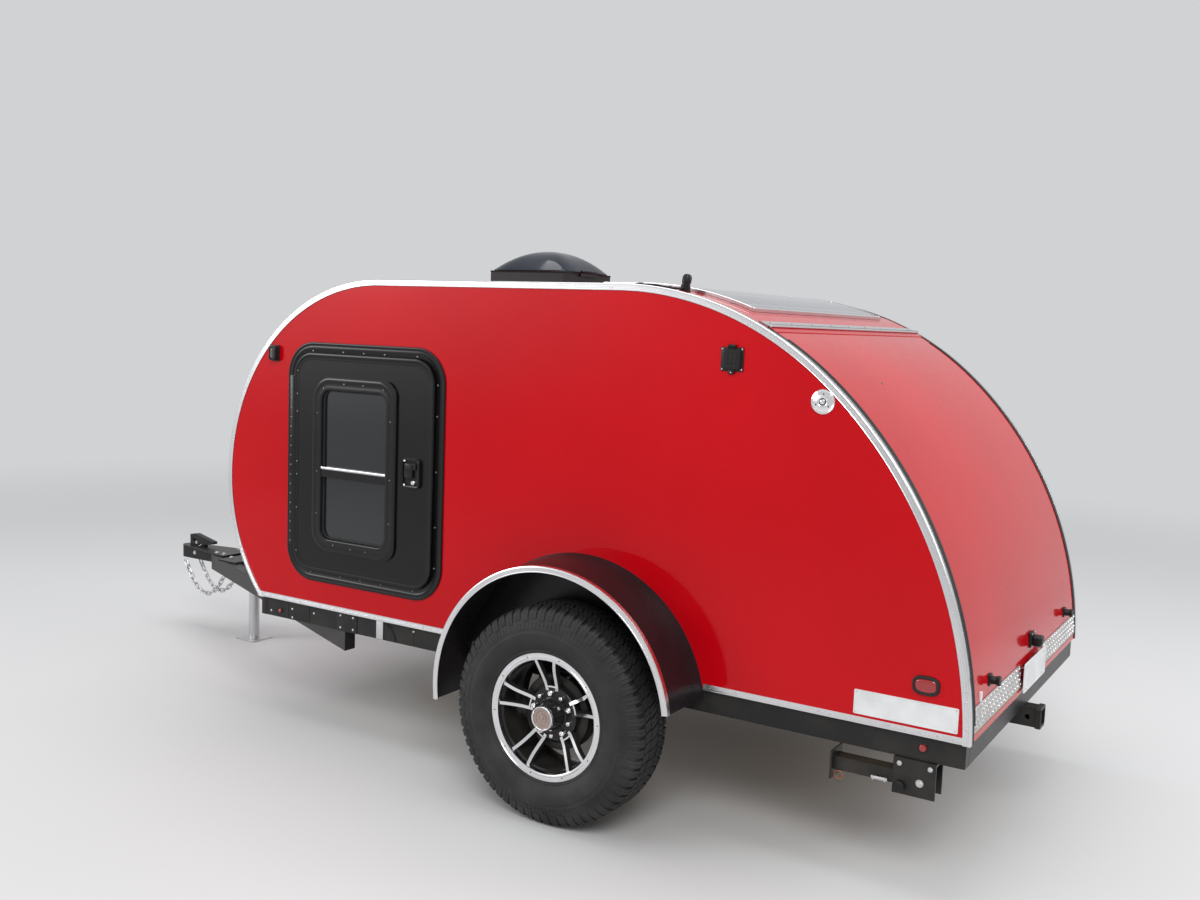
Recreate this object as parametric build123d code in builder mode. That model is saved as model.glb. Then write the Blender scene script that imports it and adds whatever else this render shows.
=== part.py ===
"""Teardrop trailer: a two-berth sleeper with a rear galley hatch, standing on its wheels and tongue jack.

Frame: +X towards the coupler, +Y to the trailer's left, +Z up, the floor at Z = 0, the origin at the middle
of the overall length and width. All lengths are in millimetres and all angles in degrees.
"""
import os
from math import asin, cos, degrees, hypot, radians, sin, sqrt, tan

from build123d import *

os.makedirs("parts", exist_ok=True)

# Overall places, measured from the axle
nose_reach = 2930.0          # axle to the front of the coupler
tail_reach = 1330.0          # axle to the end of the rear receiver tube
axle_x = (tail_reach - nose_reach) / 2

# Body outline: five tangent stretches, from the front foot over the roof to the tail
body_width = 1524.0
sill_z = 485.0               # underside of the body
nose_x = axle_x + 1731.0     # foremost point of the body
nose_z = 958.0               # height of that point
low_radius = 713.0           # below the nose
nose_radius = 792.0          # above the nose, up to the roof
roof_z = nose_z + nose_radius
roof_end_x = axle_x - 87.0   # where the flat roof ends
rear_radius = 1108.0
rear_turn = 40.4
tail_radius = 1360.4
half_width = body_width / 2

# Panels
wall = 30.0
shell = 30.0
floor_thickness = 18.0
bulkhead_thickness = 18.0
bulkhead_x = axle_x - 430.0

# Chassis
rail_height = 76.0
rail_width = 38.0
rail_inset = 12.0            # rail's outer face, in from the body side
rail_front = axle_x + 1545.0
rail_rear = axle_x - 1272.0
cross_width = 50.0
tongue_width = 51.0
tongue_height = 76.0
tongue_rail_x = rail_front - 455.0   # rear end of each tongue tube, under its rail
coupler_nose = axle_x + nose_reach
tongue_tip_x = coupler_nose - 290.0
tongue_tip_y = 52.0
rail_bottom = sill_z - rail_height
tongue_top = rail_bottom

# Wheels and axle
tyre_radius = 359.5
tyre_section = 218.0
tread_width = 176.0
rim_radius = 207.5           # outer edge of the rim's lip
bead_radius = 190.5
bead_fit = 0.3
bead_half = 79.0             # bead seats, out from the wheel's middle plane
tyre_gap = 27.0              # tyre's inner side, out from the body
wheel_y = half_width + tyre_gap + tyre_section / 2
hub_bore = 20.0
running_gap = 0.1
spindle_radius = hub_bore - running_gap
drum_radius = 128.0
axle_tube = 70.0
axle_offset = 150.0          # tube ahead of the spindle
axle_half = half_width - 10.0   # tube's end, outside the rail

# Moving pieces
clearance = 6.0              # gap all round a door or hatch
door_width = 776.0           # over the fixed flange
door_height = 921.0
door_front = axle_x + 1391.0
door_bottom = 590.0
door_corner = 130.0
door_flange = 50.0           # flange seen outside the door leaf
hinge_turn = 27.4            # hatch seam, measured round the rear arc from the roof's end
hatch_thickness = 35.0
hatch_bottom = 509.0
hatch_side_gap = 36.0        # hatch's edge, in from the body side

# Edge trim
trim_face = 20.0
trim_top = 20.0
trim_sheet = 2.5
fender_gap = 1.0             # trim's end, off the fender


def arc_point(centre, radius, angle):
    """Point on a circle in the side view."""
    return (centre[0] + radius * cos(radians(angle)), centre[1] + radius * sin(radians(angle)))


low_centre = (nose_x - low_radius, nose_z)
nose_centre = (nose_x - nose_radius, nose_z)
rear_centre = (roof_end_x, roof_z - rear_radius)
joint_angle = 90.0 + rear_turn
joint = arc_point(rear_centre, rear_radius, joint_angle)
tail_centre = arc_point(joint, tail_radius, joint_angle - 180.0)


def outline(y, inset=0.0, bottom=sill_z):
    """The body's side outline as a face at Y = y, set in from the skin, cut level at the bottom."""
    low_sweep = degrees(asin((nose_z - bottom) / (low_radius - inset)))
    tail_end = 180.0 - degrees(asin((bottom - tail_centre[1]) / (tail_radius - inset)))
    with BuildSketch(Plane.XZ.offset(-y)) as face:
        with BuildLine():
            low = CenterArc(low_centre, low_radius - inset, -low_sweep, low_sweep)
            CenterArc(nose_centre, nose_radius - inset, 0, 90)
            Line((nose_centre[0], roof_z - inset), (roof_end_x, roof_z - inset))
            CenterArc(rear_centre, rear_radius - inset, 90, rear_turn)
            tail = CenterArc(tail_centre, tail_radius - inset, joint_angle, tail_end - joint_angle)
            Line(tail @ 1, low @ 0)
        make_face()
    return face.sketch


def foot_x(z, inset=0.0):
    """X of the front skin below the nose at a height, set in from the skin."""
    return low_centre[0] + sqrt((low_radius - inset) ** 2 - (nose_z - z) ** 2)


def tail_x(z, inset=0.0):
    """X of the tail's skin at a height, set in from the skin."""
    return tail_centre[0] - sqrt((tail_radius - inset) ** 2 - (z - tail_centre[1]) ** 2)


def behind_seam(y, turn, bottom):
    """Everything behind the line from the rear arc's centre through the hatch seam, above a level."""
    reach = 2 * rear_radius
    seam = arc_point(rear_centre, reach, 90.0 + turn)
    foot = rear_centre[0] + (rear_centre[1] - bottom) * tan(radians(turn))
    back = rear_centre[0] - reach
    with BuildSketch(Plane.XZ.offset(-y)) as face:
        with BuildLine():
            Polyline((foot, bottom), seam, (back, seam[1]), (back, bottom), close=True)
        make_face()
    return face.sketch


def slab(low, high, mode=Mode.ADD):
    """A plain block between two corners, in the current part."""
    size = [b - a for a, b in zip(low, high)]
    middle = tuple((a + b) / 2 for a, b in zip(low, high))
    with Locations(middle):
        return Box(*size, mode=mode)


def keep(part, name):
    """Write one finished piece."""
    part.label = name
    export_step(part, f"parts/{name}.step")


def keep_pair(part, name):
    """Write a left piece and its mirror image on the right."""
    keep(part, f"{name}_left")
    with BuildPart() as right:
        mirror(part, about=Plane.XZ)
    keep(right.part, f"{name}_right")


# Side rails and crossmembers
rail_y = half_width - rail_inset
with BuildPart() as side_rail:
    slab((rail_rear, rail_y - rail_width, rail_bottom), (rail_front, rail_y, sill_z))
keep_pair(side_rail.part, "side_rail")

cross_count = 5
cross_step = (rail_front - cross_width - rail_rear) / (cross_count - 1)
with BuildPart() as crossmembers:
    for place in range(cross_count):
        x = rail_rear + place * cross_step
        inner = rail_y - rail_width
        slab((x, -inner, rail_bottom), (x + cross_width, inner, sill_z))
keep(crossmembers.part, "crossmembers")

# Tongue: two tubes that run in from under the rails to the coupler
tongue_rail_y = rail_y - tongue_width / 2
tongue_run = (tongue_tip_x - tongue_rail_x, tongue_tip_y - tongue_rail_y)
tongue_length = hypot(*tongue_run)
tongue_angle = degrees(asin(tongue_run[1] / tongue_length))
with BuildPart() as tongue:
    with BuildSketch(Plane.XY.offset(tongue_top - tongue_height)):
        with BuildLine():
            half_cut = tongue_width / 2 / cos(radians(tongue_angle))
            Polyline(
                (tongue_rail_x, tongue_rail_y - half_cut),
                (tongue_tip_x, tongue_tip_y - half_cut),
                (tongue_tip_x, tongue_tip_y + half_cut),
                (tongue_rail_x, tongue_rail_y + half_cut),
                close=True,
            )
        make_face()
    extrude(amount=tongue_height)
keep_pair(tongue.part, "tongue")

# Coupler: a pressed housing over the tubes' tips, with the ball socket at its nose
socket_radius = 25.8
socket_depth = 40.0
coupler_wall = 7.0
socket_x = coupler_nose - socket_radius - coupler_wall
coupler_heel = 2 * tongue_tip_y + tongue_width + 2 * coupler_wall
coupler_height = 62.0
heel_reach = 110.0           # top plate's length behind the tubes' tips
heel_flare = 18.0            # how far it widens there, each side
heel_taper = 4.0             # and narrows at the tips
web_gap = 4.0                # the nose block, shorter than the gap to the socket
with BuildPart() as coupler:
    with BuildSketch(Plane.XY.offset(tongue_top)):
        with BuildLine():
            heel = coupler_heel / 2
            heel_x = tongue_tip_x - heel_reach
            nose_half = socket_radius + coupler_wall
            Polyline((heel_x, -heel - heel_flare), (tongue_tip_x, heel_taper - heel), (socket_x, -nose_half),
                     (socket_x, nose_half), (tongue_tip_x, heel - heel_taper), (heel_x, heel + heel_flare),
                     close=True)
        make_face()
        with Locations((socket_x, 0)):
            Circle(socket_radius + coupler_wall)
    extrude(amount=coupler_wall)
    with BuildSketch(Plane.XY.offset(tongue_top - coupler_height + coupler_wall)):
        with Locations((socket_x, 0)):
            Circle(socket_radius + coupler_wall)
        with Locations(((socket_x + tongue_tip_x) / 2, 0)):
            Rectangle(socket_x - tongue_tip_x - web_gap, 2 * nose_half)
    extrude(amount=coupler_height)
    with BuildSketch(Plane.XY.offset(tongue_top - coupler_height + coupler_wall)):
        with Locations((socket_x, 0)):
            Circle(socket_radius)
    extrude(amount=socket_depth, mode=Mode.SUBTRACT)
keep(coupler.part, "coupler")

# Coupler latch: a lever on a block behind the socket
lever_half = 14.0
lever_block = (-120.0, -20.0, 26.0)   # rear and front end from the socket, height on the coupler
lever_side = (                         # from the socket, height on the coupler
    (-120.0, 10.0), (-40.0, 40.0), (-40.0, 26.0), (-20.0, 26.0),
    (-20.0, 56.0), (-60.0, 62.0), (-190.0, 34.0), (-190.0, 22.0),
)
with BuildPart() as coupler_latch:
    lever_low = tongue_top + coupler_wall
    block_rear, block_front, block_height = lever_block
    slab((socket_x + block_rear, -lever_half, lever_low),
         (socket_x + block_front, lever_half, lever_low + block_height))
    with BuildSketch(Plane.XZ.offset(-lever_half)):
        with BuildLine():
            Polyline(*[(socket_x + ahead, lever_low + height) for ahead, height in lever_side], close=True)
        make_face()
    extrude(amount=2 * lever_half)
keep(coupler_latch.part, "coupler_latch")

# Safety chains: flat-sided links hung in a loop under each side of the coupler
link_wire = 7.0
link_pitch = 30.0            # inside length of a link, less its slack
link_slack = 4.0
link_width = 26.0
link_corner = 8.0
chain_drop = 18.0            # first link's middle, below the steel it hangs from
chain_rear = (tongue_tip_x - 60.0, tongue_top - tongue_height - chain_drop)
chain_front = (coupler_nose - 62.0, tongue_top - coupler_height - chain_drop)
chain_sag = 130.0
chain_y = 44.0
chain_links = 16
chain_step = 0.0005          # shares of the span
tangent_step = 0.03


def link_outline(length, width, corner):
    """Corner points of a long octagon."""
    a, b = length / 2, width / 2
    return [(-a + corner, -b), (a - corner, -b), (a, -b + corner), (a, b - corner),
            (a - corner, b), (-a + corner, b), (-a, b - corner), (-a, -b + corner)]


def chain_point(share):
    """Point of the hanging loop at a share of its span."""
    x = chain_rear[0] + (chain_front[0] - chain_rear[0]) * share
    z = chain_rear[1] + (chain_front[1] - chain_rear[1]) * share - 4 * chain_sag * share * (1 - share)
    return (x, z)


def chain_shares():
    """Shares of the span at which the links' middles lie one pitch apart."""
    shares = [0.0]
    share = 0.0
    while share < 1.0 and len(shares) < chain_links:
        x, z = chain_point(shares[-1])
        while share < 1.0:
            share += chain_step
            to = chain_point(share)
            if hypot(to[0] - x, to[1] - z) >= link_pitch:
                break
        shares.append(share)
    return shares


with BuildPart() as safety_chains:
    for side in (1, -1):
        for count, share in enumerate(chain_shares()):
            before = chain_point(share - tangent_step)
            after = chain_point(share + tangent_step)
            x, z = chain_point(share)
            along = Vector(after[0] - before[0], 0, after[1] - before[1]).normalized()
            across = Vector(0, 1, 0) if count % 2 == 0 else along.cross(Vector(0, 1, 0))
            flat = Plane(origin=(x, side * chain_y, z), x_dir=along, z_dir=across)
            link_inside = link_pitch + link_slack
            outside_points = link_outline(link_inside + 2 * link_wire, link_width, link_corner)
            inside_points = link_outline(link_inside, link_width - 2 * link_wire, link_corner / 2)
            with BuildSketch(flat.offset(-link_wire / 2)):
                Polygon(*outside_points, align=None)
                Polygon(*inside_points, align=None, mode=Mode.SUBTRACT)
            extrude(amount=link_wire)
keep(safety_chains.part, "safety_chains")

# Tongue jack: a fixed tube through a plate on the tongue, and a screwed inner leg with a foot
jack_x = tongue_tip_x - 220.0
jack_outer = 28.5
jack_wall = 3.0
jack_play = 0.5
jack_low = 300.0
jack_high = 800.0
jack_stroke = 250.0
jack_plate = 8.0
jack_cap = 10.0
jack_foot = 6.0
jack_foot_half = 62.0
jack_plate_reach = 60.0
jack_collar = 6.0            # head's rim, out from the tube
jack_head = 22.0
crank_reach = 120.0
crank_half = 9.0
crank_bar = 8.0
crank_end = 12.0             # bar beyond the tube's middle, and beyond the grip's
grip_radius = 11.0
grip_length = 75.0
crank_low = jack_high + jack_head
jack_share = (jack_x - tongue_rail_x) / (tongue_tip_x - tongue_rail_x)
jack_plate_half = tongue_rail_y + tongue_run[1] * jack_share + tongue_width / 2
with BuildPart() as jack_tube:
    slab((jack_x - jack_plate_reach, -jack_plate_half, tongue_top),
         (jack_x + jack_plate_reach, jack_plate_half, tongue_top + jack_plate))
    with BuildSketch(Plane.XY.offset(jack_low)):
        with Locations((jack_x, 0)):
            Circle(jack_outer)
    extrude(amount=jack_high - jack_low)
    with BuildSketch(Plane.XY.offset(jack_low)):
        with Locations((jack_x, 0)):
            Circle(jack_outer - jack_wall)
    extrude(amount=jack_high - jack_low - jack_cap, mode=Mode.SUBTRACT)
    with BuildSketch(Plane.XY.offset(jack_high)):
        with Locations((jack_x, 0)):
            Circle(jack_outer + jack_collar)
    extrude(amount=jack_head)
    slab((jack_x - crank_reach, -crank_half, crank_low),
         (jack_x + crank_end, crank_half, crank_low + crank_bar))
    with BuildSketch(Plane.XY.offset(crank_low + crank_bar)):
        with Locations((jack_x - crank_reach + crank_end, 0)):
            Circle(grip_radius)
    extrude(amount=grip_length)
keep(jack_tube.part, "jack_tube")

with BuildPart() as jack_leg:
    leg_top = jack_high - jack_cap - jack_stroke - jack_cap
    slab((jack_x - jack_foot_half, -jack_foot_half, 0.0), (jack_x + jack_foot_half, jack_foot_half, jack_foot))
    with BuildSketch(Plane.XY.offset(jack_foot)):
        with Locations((jack_x, 0)):
            Circle(jack_outer - jack_wall - jack_play)
    extrude(amount=leg_top - jack_foot)
keep(jack_leg.part, "jack_leg")

# Rear receiver: a square socket tube under the rear crossmember, drilled across for its pin
receiver_outer = 63.5
receiver_bore = 51.6
receiver_front = rail_rear + 120.0
receiver_end = axle_x - tail_reach
receiver_pin_radius = 8.0
receiver_pin_x = receiver_end + 45.0
with BuildPart() as receiver:
    tube_half = receiver_outer / 2
    slab((receiver_end, -tube_half, rail_bottom - receiver_outer), (receiver_front, tube_half, rail_bottom))
    middle_z = rail_bottom - tube_half
    with BuildSketch(Plane.YZ.offset(receiver_end)):
        with Locations((0, middle_z)):
            Rectangle(receiver_bore, receiver_bore)
    extrude(amount=receiver_front - receiver_end, mode=Mode.SUBTRACT)
    with BuildSketch(Plane.XZ.offset(-receiver_outer)):
        with Locations((receiver_pin_x, middle_z)):
            Circle(receiver_pin_radius)
    extrude(amount=2 * receiver_outer, mode=Mode.SUBTRACT)
keep(receiver.part, "receiver")

# Torsion axle: a square tube under the rails, with a trailing arm and a spindle at each end
arm_thickness = 20.0
arm_end = 34.0               # radius round the spindle
spindle_reach = 34.0         # beyond the wheel's middle plane
spindle_end = wheel_y + spindle_reach
with BuildPart() as axle:
    tube_x = axle_x + axle_offset
    beam_half = axle_tube / 2
    slab((tube_x - beam_half, -axle_half, rail_bottom - axle_tube),
         (tube_x + beam_half, axle_half, rail_bottom))
    for side in (1, -1):
        inner = side * axle_half
        with BuildSketch(Plane.XZ.offset(-inner)):
            with Locations((axle_x, tyre_radius)):
                Circle(arm_end)
            with Locations((tube_x, rail_bottom - beam_half)):
                Circle(beam_half)
            with BuildLine():
                Polyline((axle_x, tyre_radius - arm_end), (tube_x, rail_bottom - axle_tube),
                         (tube_x, rail_bottom), (axle_x, tyre_radius + arm_end), close=True)
            make_face()
        extrude(amount=-side * arm_thickness)
        with BuildSketch(Plane.XZ.offset(-inner)):
            with Locations((axle_x, tyre_radius)):
                Circle(spindle_radius)
        extrude(amount=-side * (spindle_end - axle_half))
keep(axle.part, "axle")

# Wheels: tyre, and a cast wheel with paired spokes
wheel_axis = Axis((axle_x, 0, tyre_radius), (0, 1, 0))


def turned(points, mode=Mode.ADD):
    """Turn (across, radius) points about the left wheel's axis, into the current part."""
    with BuildSketch(Plane.YZ.offset(axle_x)) as face:
        with BuildLine():
            Polyline(*[(wheel_y + across, tyre_radius + radius) for across, radius in points], close=True)
        make_face()
    return revolve(face.sketch, axis=wheel_axis, mode=mode)


tread_half = tread_width / 2
bulge = tyre_section / 2
casing = 12.0
rim_top = rim_radius + bead_fit
bead_thick = 16.0
tread_thick = 26.0
shoulder = (12.0, 14.0)      # rounding of the tread's edge, across and down
sidewall = ((6.0, 36.0), (0.0, 76.0), (7.0, 118.0))   # in from the bulge, out from the bead
belly = 72.0                 # inside of the bulge, out from the bead
outer_half = [(bead_half, bead_radius), (bead_half, rim_top)]
outer_half += [(bulge - inward, bead_radius + outward) for inward, outward in sidewall]
outer_half += [(tread_half, tyre_radius - shoulder[1]), (tread_half - shoulder[0], tyre_radius)]
inner_half = [(tread_half - casing, tyre_radius - tread_thick), (bulge - casing, bead_radius + belly),
              (bead_half - bead_thick, bead_radius)]
tyre_loop = [(-across, radius) for across, radius in outer_half] + outer_half[::-1]
tyre_loop += inner_half[::-1] + [(-across, radius) for across, radius in inner_half]
with BuildPart() as tyre:
    turned(tyre_loop)
keep_pair(tyre.part, "tyre")

rim_lip = 8.0                # outside the bead seat
rim_root = 2.0               # lip's foot, outside the bead seat
rim_half = bead_half + rim_lip
barrel_radius = bead_radius - bead_fit
barrel_wall = 7.0
barrel_step = 3.0            # thicker under the outer lip
drum_inner = 30.0            # drum's inner and outer face, each side of the wheel's middle plane
drum_outer = 20.0
hub_radius = 90.0
hub_face = 40.0              # all out from the wheel's middle plane
spoke_face = 78.0            # at the rim
spoke_depth = 18.0
spoke_width = 18.0
spoke_root = 80.0
spoke_pairs = 5
pair_start = 94.0            # first pair's middle, from the rearward horizontal
pair_turn = 11.8             # each spoke's turn from its pair's middle
spoke_bite = 2.0             # spoke's tip, into the barrel
cap_radius = 54.0
cap_tip = 41.0
cap_round = 6.0
cap_reach = 104.0
cap_gap = 2.0                # inside the cap, off the spindle's end
wheel_middle = (axle_x, wheel_y, tyre_radius)
inner_barrel = barrel_radius - barrel_wall
lip_inner = inner_barrel - barrel_step
with BuildPart() as wheel:
    turned([
        (-rim_half, rim_radius), (-bead_half - rim_root, rim_radius), (-bead_half, barrel_radius),
        (bead_half, barrel_radius), (bead_half + rim_root, rim_radius), (rim_half, rim_radius),
        (rim_half, lip_inner), (bead_half, lip_inner), (bead_half - barrel_step, inner_barrel),
        (-bead_half, inner_barrel), (-rim_half, rim_radius - rim_lip),
    ])
    turned([
        (-drum_inner, hub_bore), (-drum_inner, drum_radius), (drum_outer, drum_radius),
        (drum_outer, hub_radius), (hub_face, hub_radius), (hub_face, cap_radius), (cap_reach - cap_round, cap_tip),
        (cap_reach, cap_tip - cap_round), (cap_reach, 0.0), (spindle_reach + cap_gap, 0.0),
        (spindle_reach + cap_gap, hub_bore),
    ])
    tip = sqrt((barrel_radius - spoke_bite) ** 2 - (spoke_width / 2) ** 2)
    spoke_side = [(spoke_root, hub_face - spoke_depth), (tip, spoke_face - spoke_depth), (tip, spoke_face),
                  (spoke_root, hub_face)]
    for pair in range(spoke_pairs):
        for hand in (1, -1):
            turn = radians(pair_start + pair * 360.0 / spoke_pairs + hand * pair_turn)
            radial = Vector(-cos(turn), 0, sin(turn))
            spoke_plane = Plane(origin=wheel_middle, x_dir=radial, z_dir=radial.cross(Vector(0, 1, 0)))
            with BuildSketch(spoke_plane.offset(-spoke_width / 2)):
                Polygon(*spoke_side, align=None)
            extrude(amount=spoke_width)
keep_pair(wheel.part, "wheel")

# Fenders: a moulded arch that flares to the body side, with a turned-down outer lip and an inner liner
fender_centre = (axle_x + 12.0, 389.0)
fender_radius = 456.0
fender_edge = wheel_y + 78.0
fender_sheet = 3.0
fender_lip = 20.0
fender_front = -8.0
fender_rear = 172.0
side_face = half_width + fender_sheet
flare = 14.0                 # arch's growth at the body side
flare_side = (               # share of the way out from the body, share of the flare
    (0.0, 1.0), (0.10, 0.62), (0.25, 0.30), (0.45, 0.08), (1.0, 0.0),
)


def fender_ring(y, outer, inner):
    """Part ring in the side view, between two radii about the fender's centre."""
    with BuildSketch(Plane.XZ.offset(-y)) as face:
        with BuildLine():
            big = CenterArc(fender_centre, outer, fender_front, fender_rear - fender_front)
            small = CenterArc(fender_centre, inner, fender_front, fender_rear - fender_front)
            Line(big @ 0, small @ 0)
            Line(big @ 1, small @ 1)
        make_face()
    return face.sketch


arch_span = fender_edge - half_width
arch = [(half_width + out * arch_span, fender_radius + grown * flare) for out, grown in flare_side]
arch_loop = arch + [(across, radius - fender_sheet) for across, radius in arch[::-1]]
liner_radius = fender_radius + flare - fender_sheet / 2
arch_foot = Vector(cos(radians(fender_front)), 0, sin(radians(fender_front)))
arch_middle = (fender_centre[0], 0, fender_centre[1])
arch_plane = Plane(origin=arch_middle, x_dir=(0, 1, 0), z_dir=Vector(0, 1, 0).cross(arch_foot))
with BuildPart() as fender:
    with BuildSketch(arch_plane) as arch_face:
        with BuildLine():
            Polyline(*arch_loop, close=True)
        make_face()
    revolve(arch_face.sketch, axis=Axis(arch_middle, (0, -1, 0)), revolution_arc=fender_rear - fender_front)
    extrude(fender_ring(fender_edge, fender_radius, fender_radius - fender_lip), amount=fender_sheet)
    with BuildSketch(Plane.XZ.offset(-side_face)) as liner_face:
        with Locations(fender_centre):
            Circle(liner_radius)
        with Locations((fender_centre[0], sill_z - liner_radius)):
            Rectangle(2 * liner_radius, 2 * liner_radius, mode=Mode.SUBTRACT)
    extrude(liner_face.sketch, amount=fender_sheet)
keep_pair(fender.part, "fender")

# Fixed shell: floor, side walls with door holes, one curved front and roof skin, galley bulkhead
inside = half_width - wall
floor_top = sill_z + floor_thickness
leaf_width = door_width - 2 * door_flange
leaf_height = door_height - 2 * door_flange
leaf_corner = door_corner - door_flange
door_x = door_front - door_width / 2
door_z = door_bottom + door_height / 2
liner = 14.0                 # door frame's thickness inside the wall's hole
with BuildPart() as side_wall:
    extrude(outline(half_width), amount=wall)
    with BuildSketch(Plane.XZ.offset(-half_width)):
        with Locations((door_x, door_z)):
            RectangleRounded(leaf_width + 2 * liner, leaf_height + 2 * liner, leaf_corner + liner)
    extrude(amount=wall, mode=Mode.SUBTRACT)
keep_pair(side_wall.part, "side_wall")

vent_set_back = 1031.0       # behind the nose
vent_x = nose_x - vent_set_back
vent_half = 175.0            # outside of the vent's upstand
vent_fit = 1.0
with BuildPart() as roof_shell:
    extrude(outline(inside), amount=2 * inside)
    extrude(outline(inside, shell, sill_z), amount=2 * inside, mode=Mode.SUBTRACT)
    extrude(behind_seam(inside, hinge_turn, sill_z - shell), amount=2 * inside, mode=Mode.SUBTRACT)
    hole = vent_half + vent_fit
    with BuildSketch(Plane.XY.offset(roof_z - 2 * shell)):
        with Locations((vent_x, 0)):
            Rectangle(2 * hole, 2 * hole)
    extrude(amount=3 * shell, mode=Mode.SUBTRACT)
keep(roof_shell.part, "roof_shell")

sill_thickness = 40.0
sill_top = hatch_bottom - clearance
floor_rear = tail_x(floor_top, sill_thickness)
floor_front = foot_x(sill_z, shell)
far = 4 * rear_radius
with BuildPart() as rear_sill:
    extrude(outline(inside), amount=2 * inside)
    slab((tail_x(sill_z) - sill_thickness, -inside, sill_z), (floor_rear, inside, sill_top),
         mode=Mode.INTERSECT)
keep(rear_sill.part, "rear_sill")

with BuildPart() as floor:
    slab((floor_rear, -inside, sill_z), (floor_front, inside, floor_top))
keep(floor.part, "floor")

with BuildPart() as bulkhead:
    extrude(outline(inside, shell, floor_top), amount=2 * inside)
    slab((-far, -far, -far), (bulkhead_x, far, far), mode=Mode.SUBTRACT)
    slab((bulkhead_x + bulkhead_thickness, -far, -far), (far, far, far), mode=Mode.SUBTRACT)
keep(bulkhead.part, "bulkhead")

# Galley: a cabinet front and a worktop behind the bulkhead, under the hatch
worktop_z = 850.0
worktop_thickness = 25.0
worktop_gap = 45.0           # worktop's rear edge, ahead of the shut hatch
kick = 30.0                  # cabinet front, in under the worktop
worktop_rear = tail_x(worktop_z + worktop_thickness, hatch_thickness) + worktop_gap
cabinet_rear = worktop_rear + kick
with BuildPart() as galley:
    slab((worktop_rear, -inside, worktop_z), (bulkhead_x, inside, worktop_z + worktop_thickness))
    slab((cabinet_rear, -inside, floor_top), (cabinet_rear + bulkhead_thickness, inside, worktop_z))
keep(galley.part, "galley")

# Hatch: the thick curved rear panel with its hinge strip, tread plate, plate and latches
hatch_half = half_width - hatch_side_gap
seam_gap = 0.35
hinge_rise = 9.0
hinge_sheet = 5.0
hinge_bead = 5.0
hinge_play = 0.3
roof_strip = 2.1
hatch_strip = 1.3
plate_sheet = 2.0
tread_plate_top = 584.0
number_half = 160.0
number_top = 584.0
number_bottom = 486.0
with BuildPart() as hatch_shell:
    extrude(outline(hatch_half), amount=2 * hatch_half)
    extrude(outline(hatch_half, hatch_thickness), amount=2 * hatch_half, mode=Mode.SUBTRACT)
    extrude(behind_seam(hatch_half, hinge_turn + seam_gap, hatch_bottom), amount=2 * hatch_half,
            mode=Mode.INTERSECT)
keep(hatch_shell.part, "hatch_shell")

pivot = arc_point(rear_centre, rear_radius + hinge_rise, 90.0 + hinge_turn)


def skin_band(half, start, end, rise, sheet):
    """A strip that follows the rear arc between two turns, raised off the skin."""
    with BuildSketch(Plane.XZ.offset(-half)) as face:
        with BuildLine():
            big = CenterArc(rear_centre, rear_radius + rise + sheet, 90 + start, end - start)
            small = CenterArc(rear_centre, rear_radius + rise, 90 + start, end - start)
            Line(big @ 0, small @ 0)
            Line(big @ 1, small @ 1)
        make_face()
    return extrude(face.sketch, amount=2 * half)


bead_turn = degrees(hinge_bead / rear_radius)
play_turn = degrees(hinge_play / rear_radius)
with BuildPart() as roof_hinge:
    cup_turn = hinge_turn - bead_turn - play_turn
    skin_band(hatch_half, hinge_turn - roof_strip, cup_turn, 0.0, hinge_sheet)
    skin_band(hatch_half, cup_turn - bead_turn, cup_turn, hinge_sheet, hinge_rise - hinge_sheet)
keep(roof_hinge.part, "roof_hinge")

with BuildPart() as hatch_hinge:
    skin_band(hatch_half, hinge_turn + seam_gap, hinge_turn + hatch_strip, 0.0, hinge_sheet)
    skin_band(hatch_half, hinge_turn, hinge_turn + 2 * seam_gap, hinge_sheet, hinge_sheet)
    with BuildSketch(Plane.XZ.offset(-hatch_half)):
        with Locations(pivot):
            Circle(hinge_bead)
    extrude(amount=2 * hatch_half)
keep(hatch_hinge.part, "hatch_hinge")

with BuildPart() as tread_plate:
    extrude(outline(hatch_half, -plate_sheet, hatch_bottom), amount=2 * hatch_half)
    extrude(outline(hatch_half, 0.0, sill_z), amount=2 * hatch_half, mode=Mode.SUBTRACT)
    slab((-far, -far, tread_plate_top), (far, far, far), mode=Mode.SUBTRACT)
    slab((roof_end_x, -far, -far), (far, far, far), mode=Mode.SUBTRACT)
    slab((-far, -number_half, -far), (far, number_half, far), mode=Mode.SUBTRACT)
keep(tread_plate.part, "tread_plate")

number_stand = 8.0           # plate's inner face, behind the tail at its lower edge
number_x = tail_x(number_bottom) - number_stand
number_sheet = 3.0
bracket_half = 120.0
bracket_reach = 40.0
bracket_margin = 10.0        # above the hatch's lower edge
with BuildPart() as number_plate:
    slab((number_x - number_sheet, -number_half, number_bottom), (number_x, number_half, number_top))
    slab((number_x, -bracket_half, hatch_bottom + bracket_margin),
         (number_x + bracket_reach, bracket_half, number_top - 2 * bracket_margin))
    extrude(outline(hatch_half), amount=2 * hatch_half, mode=Mode.SUBTRACT)
keep(number_plate.part, "number_plate")

latch_places = (              # middle across, half width, reach behind the tail
    (540.0, 17.0, 34.0),
    (0.0, 26.0, 42.0),
    (-540.0, 17.0, 34.0),
)
latch_low = 606.0
with BuildPart() as hatch_latches:
    for y, latch_half, reach in latch_places:
        latch_x = tail_x(latch_low)
        latch_top = latch_low + 2 * latch_half
        slab((latch_x - reach, y - latch_half, latch_low), (latch_x + reach, y + latch_half, latch_top))
    extrude(outline(hatch_half), amount=2 * hatch_half, mode=Mode.SUBTRACT)
keep(hatch_latches.part, "hatch_latches")

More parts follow.
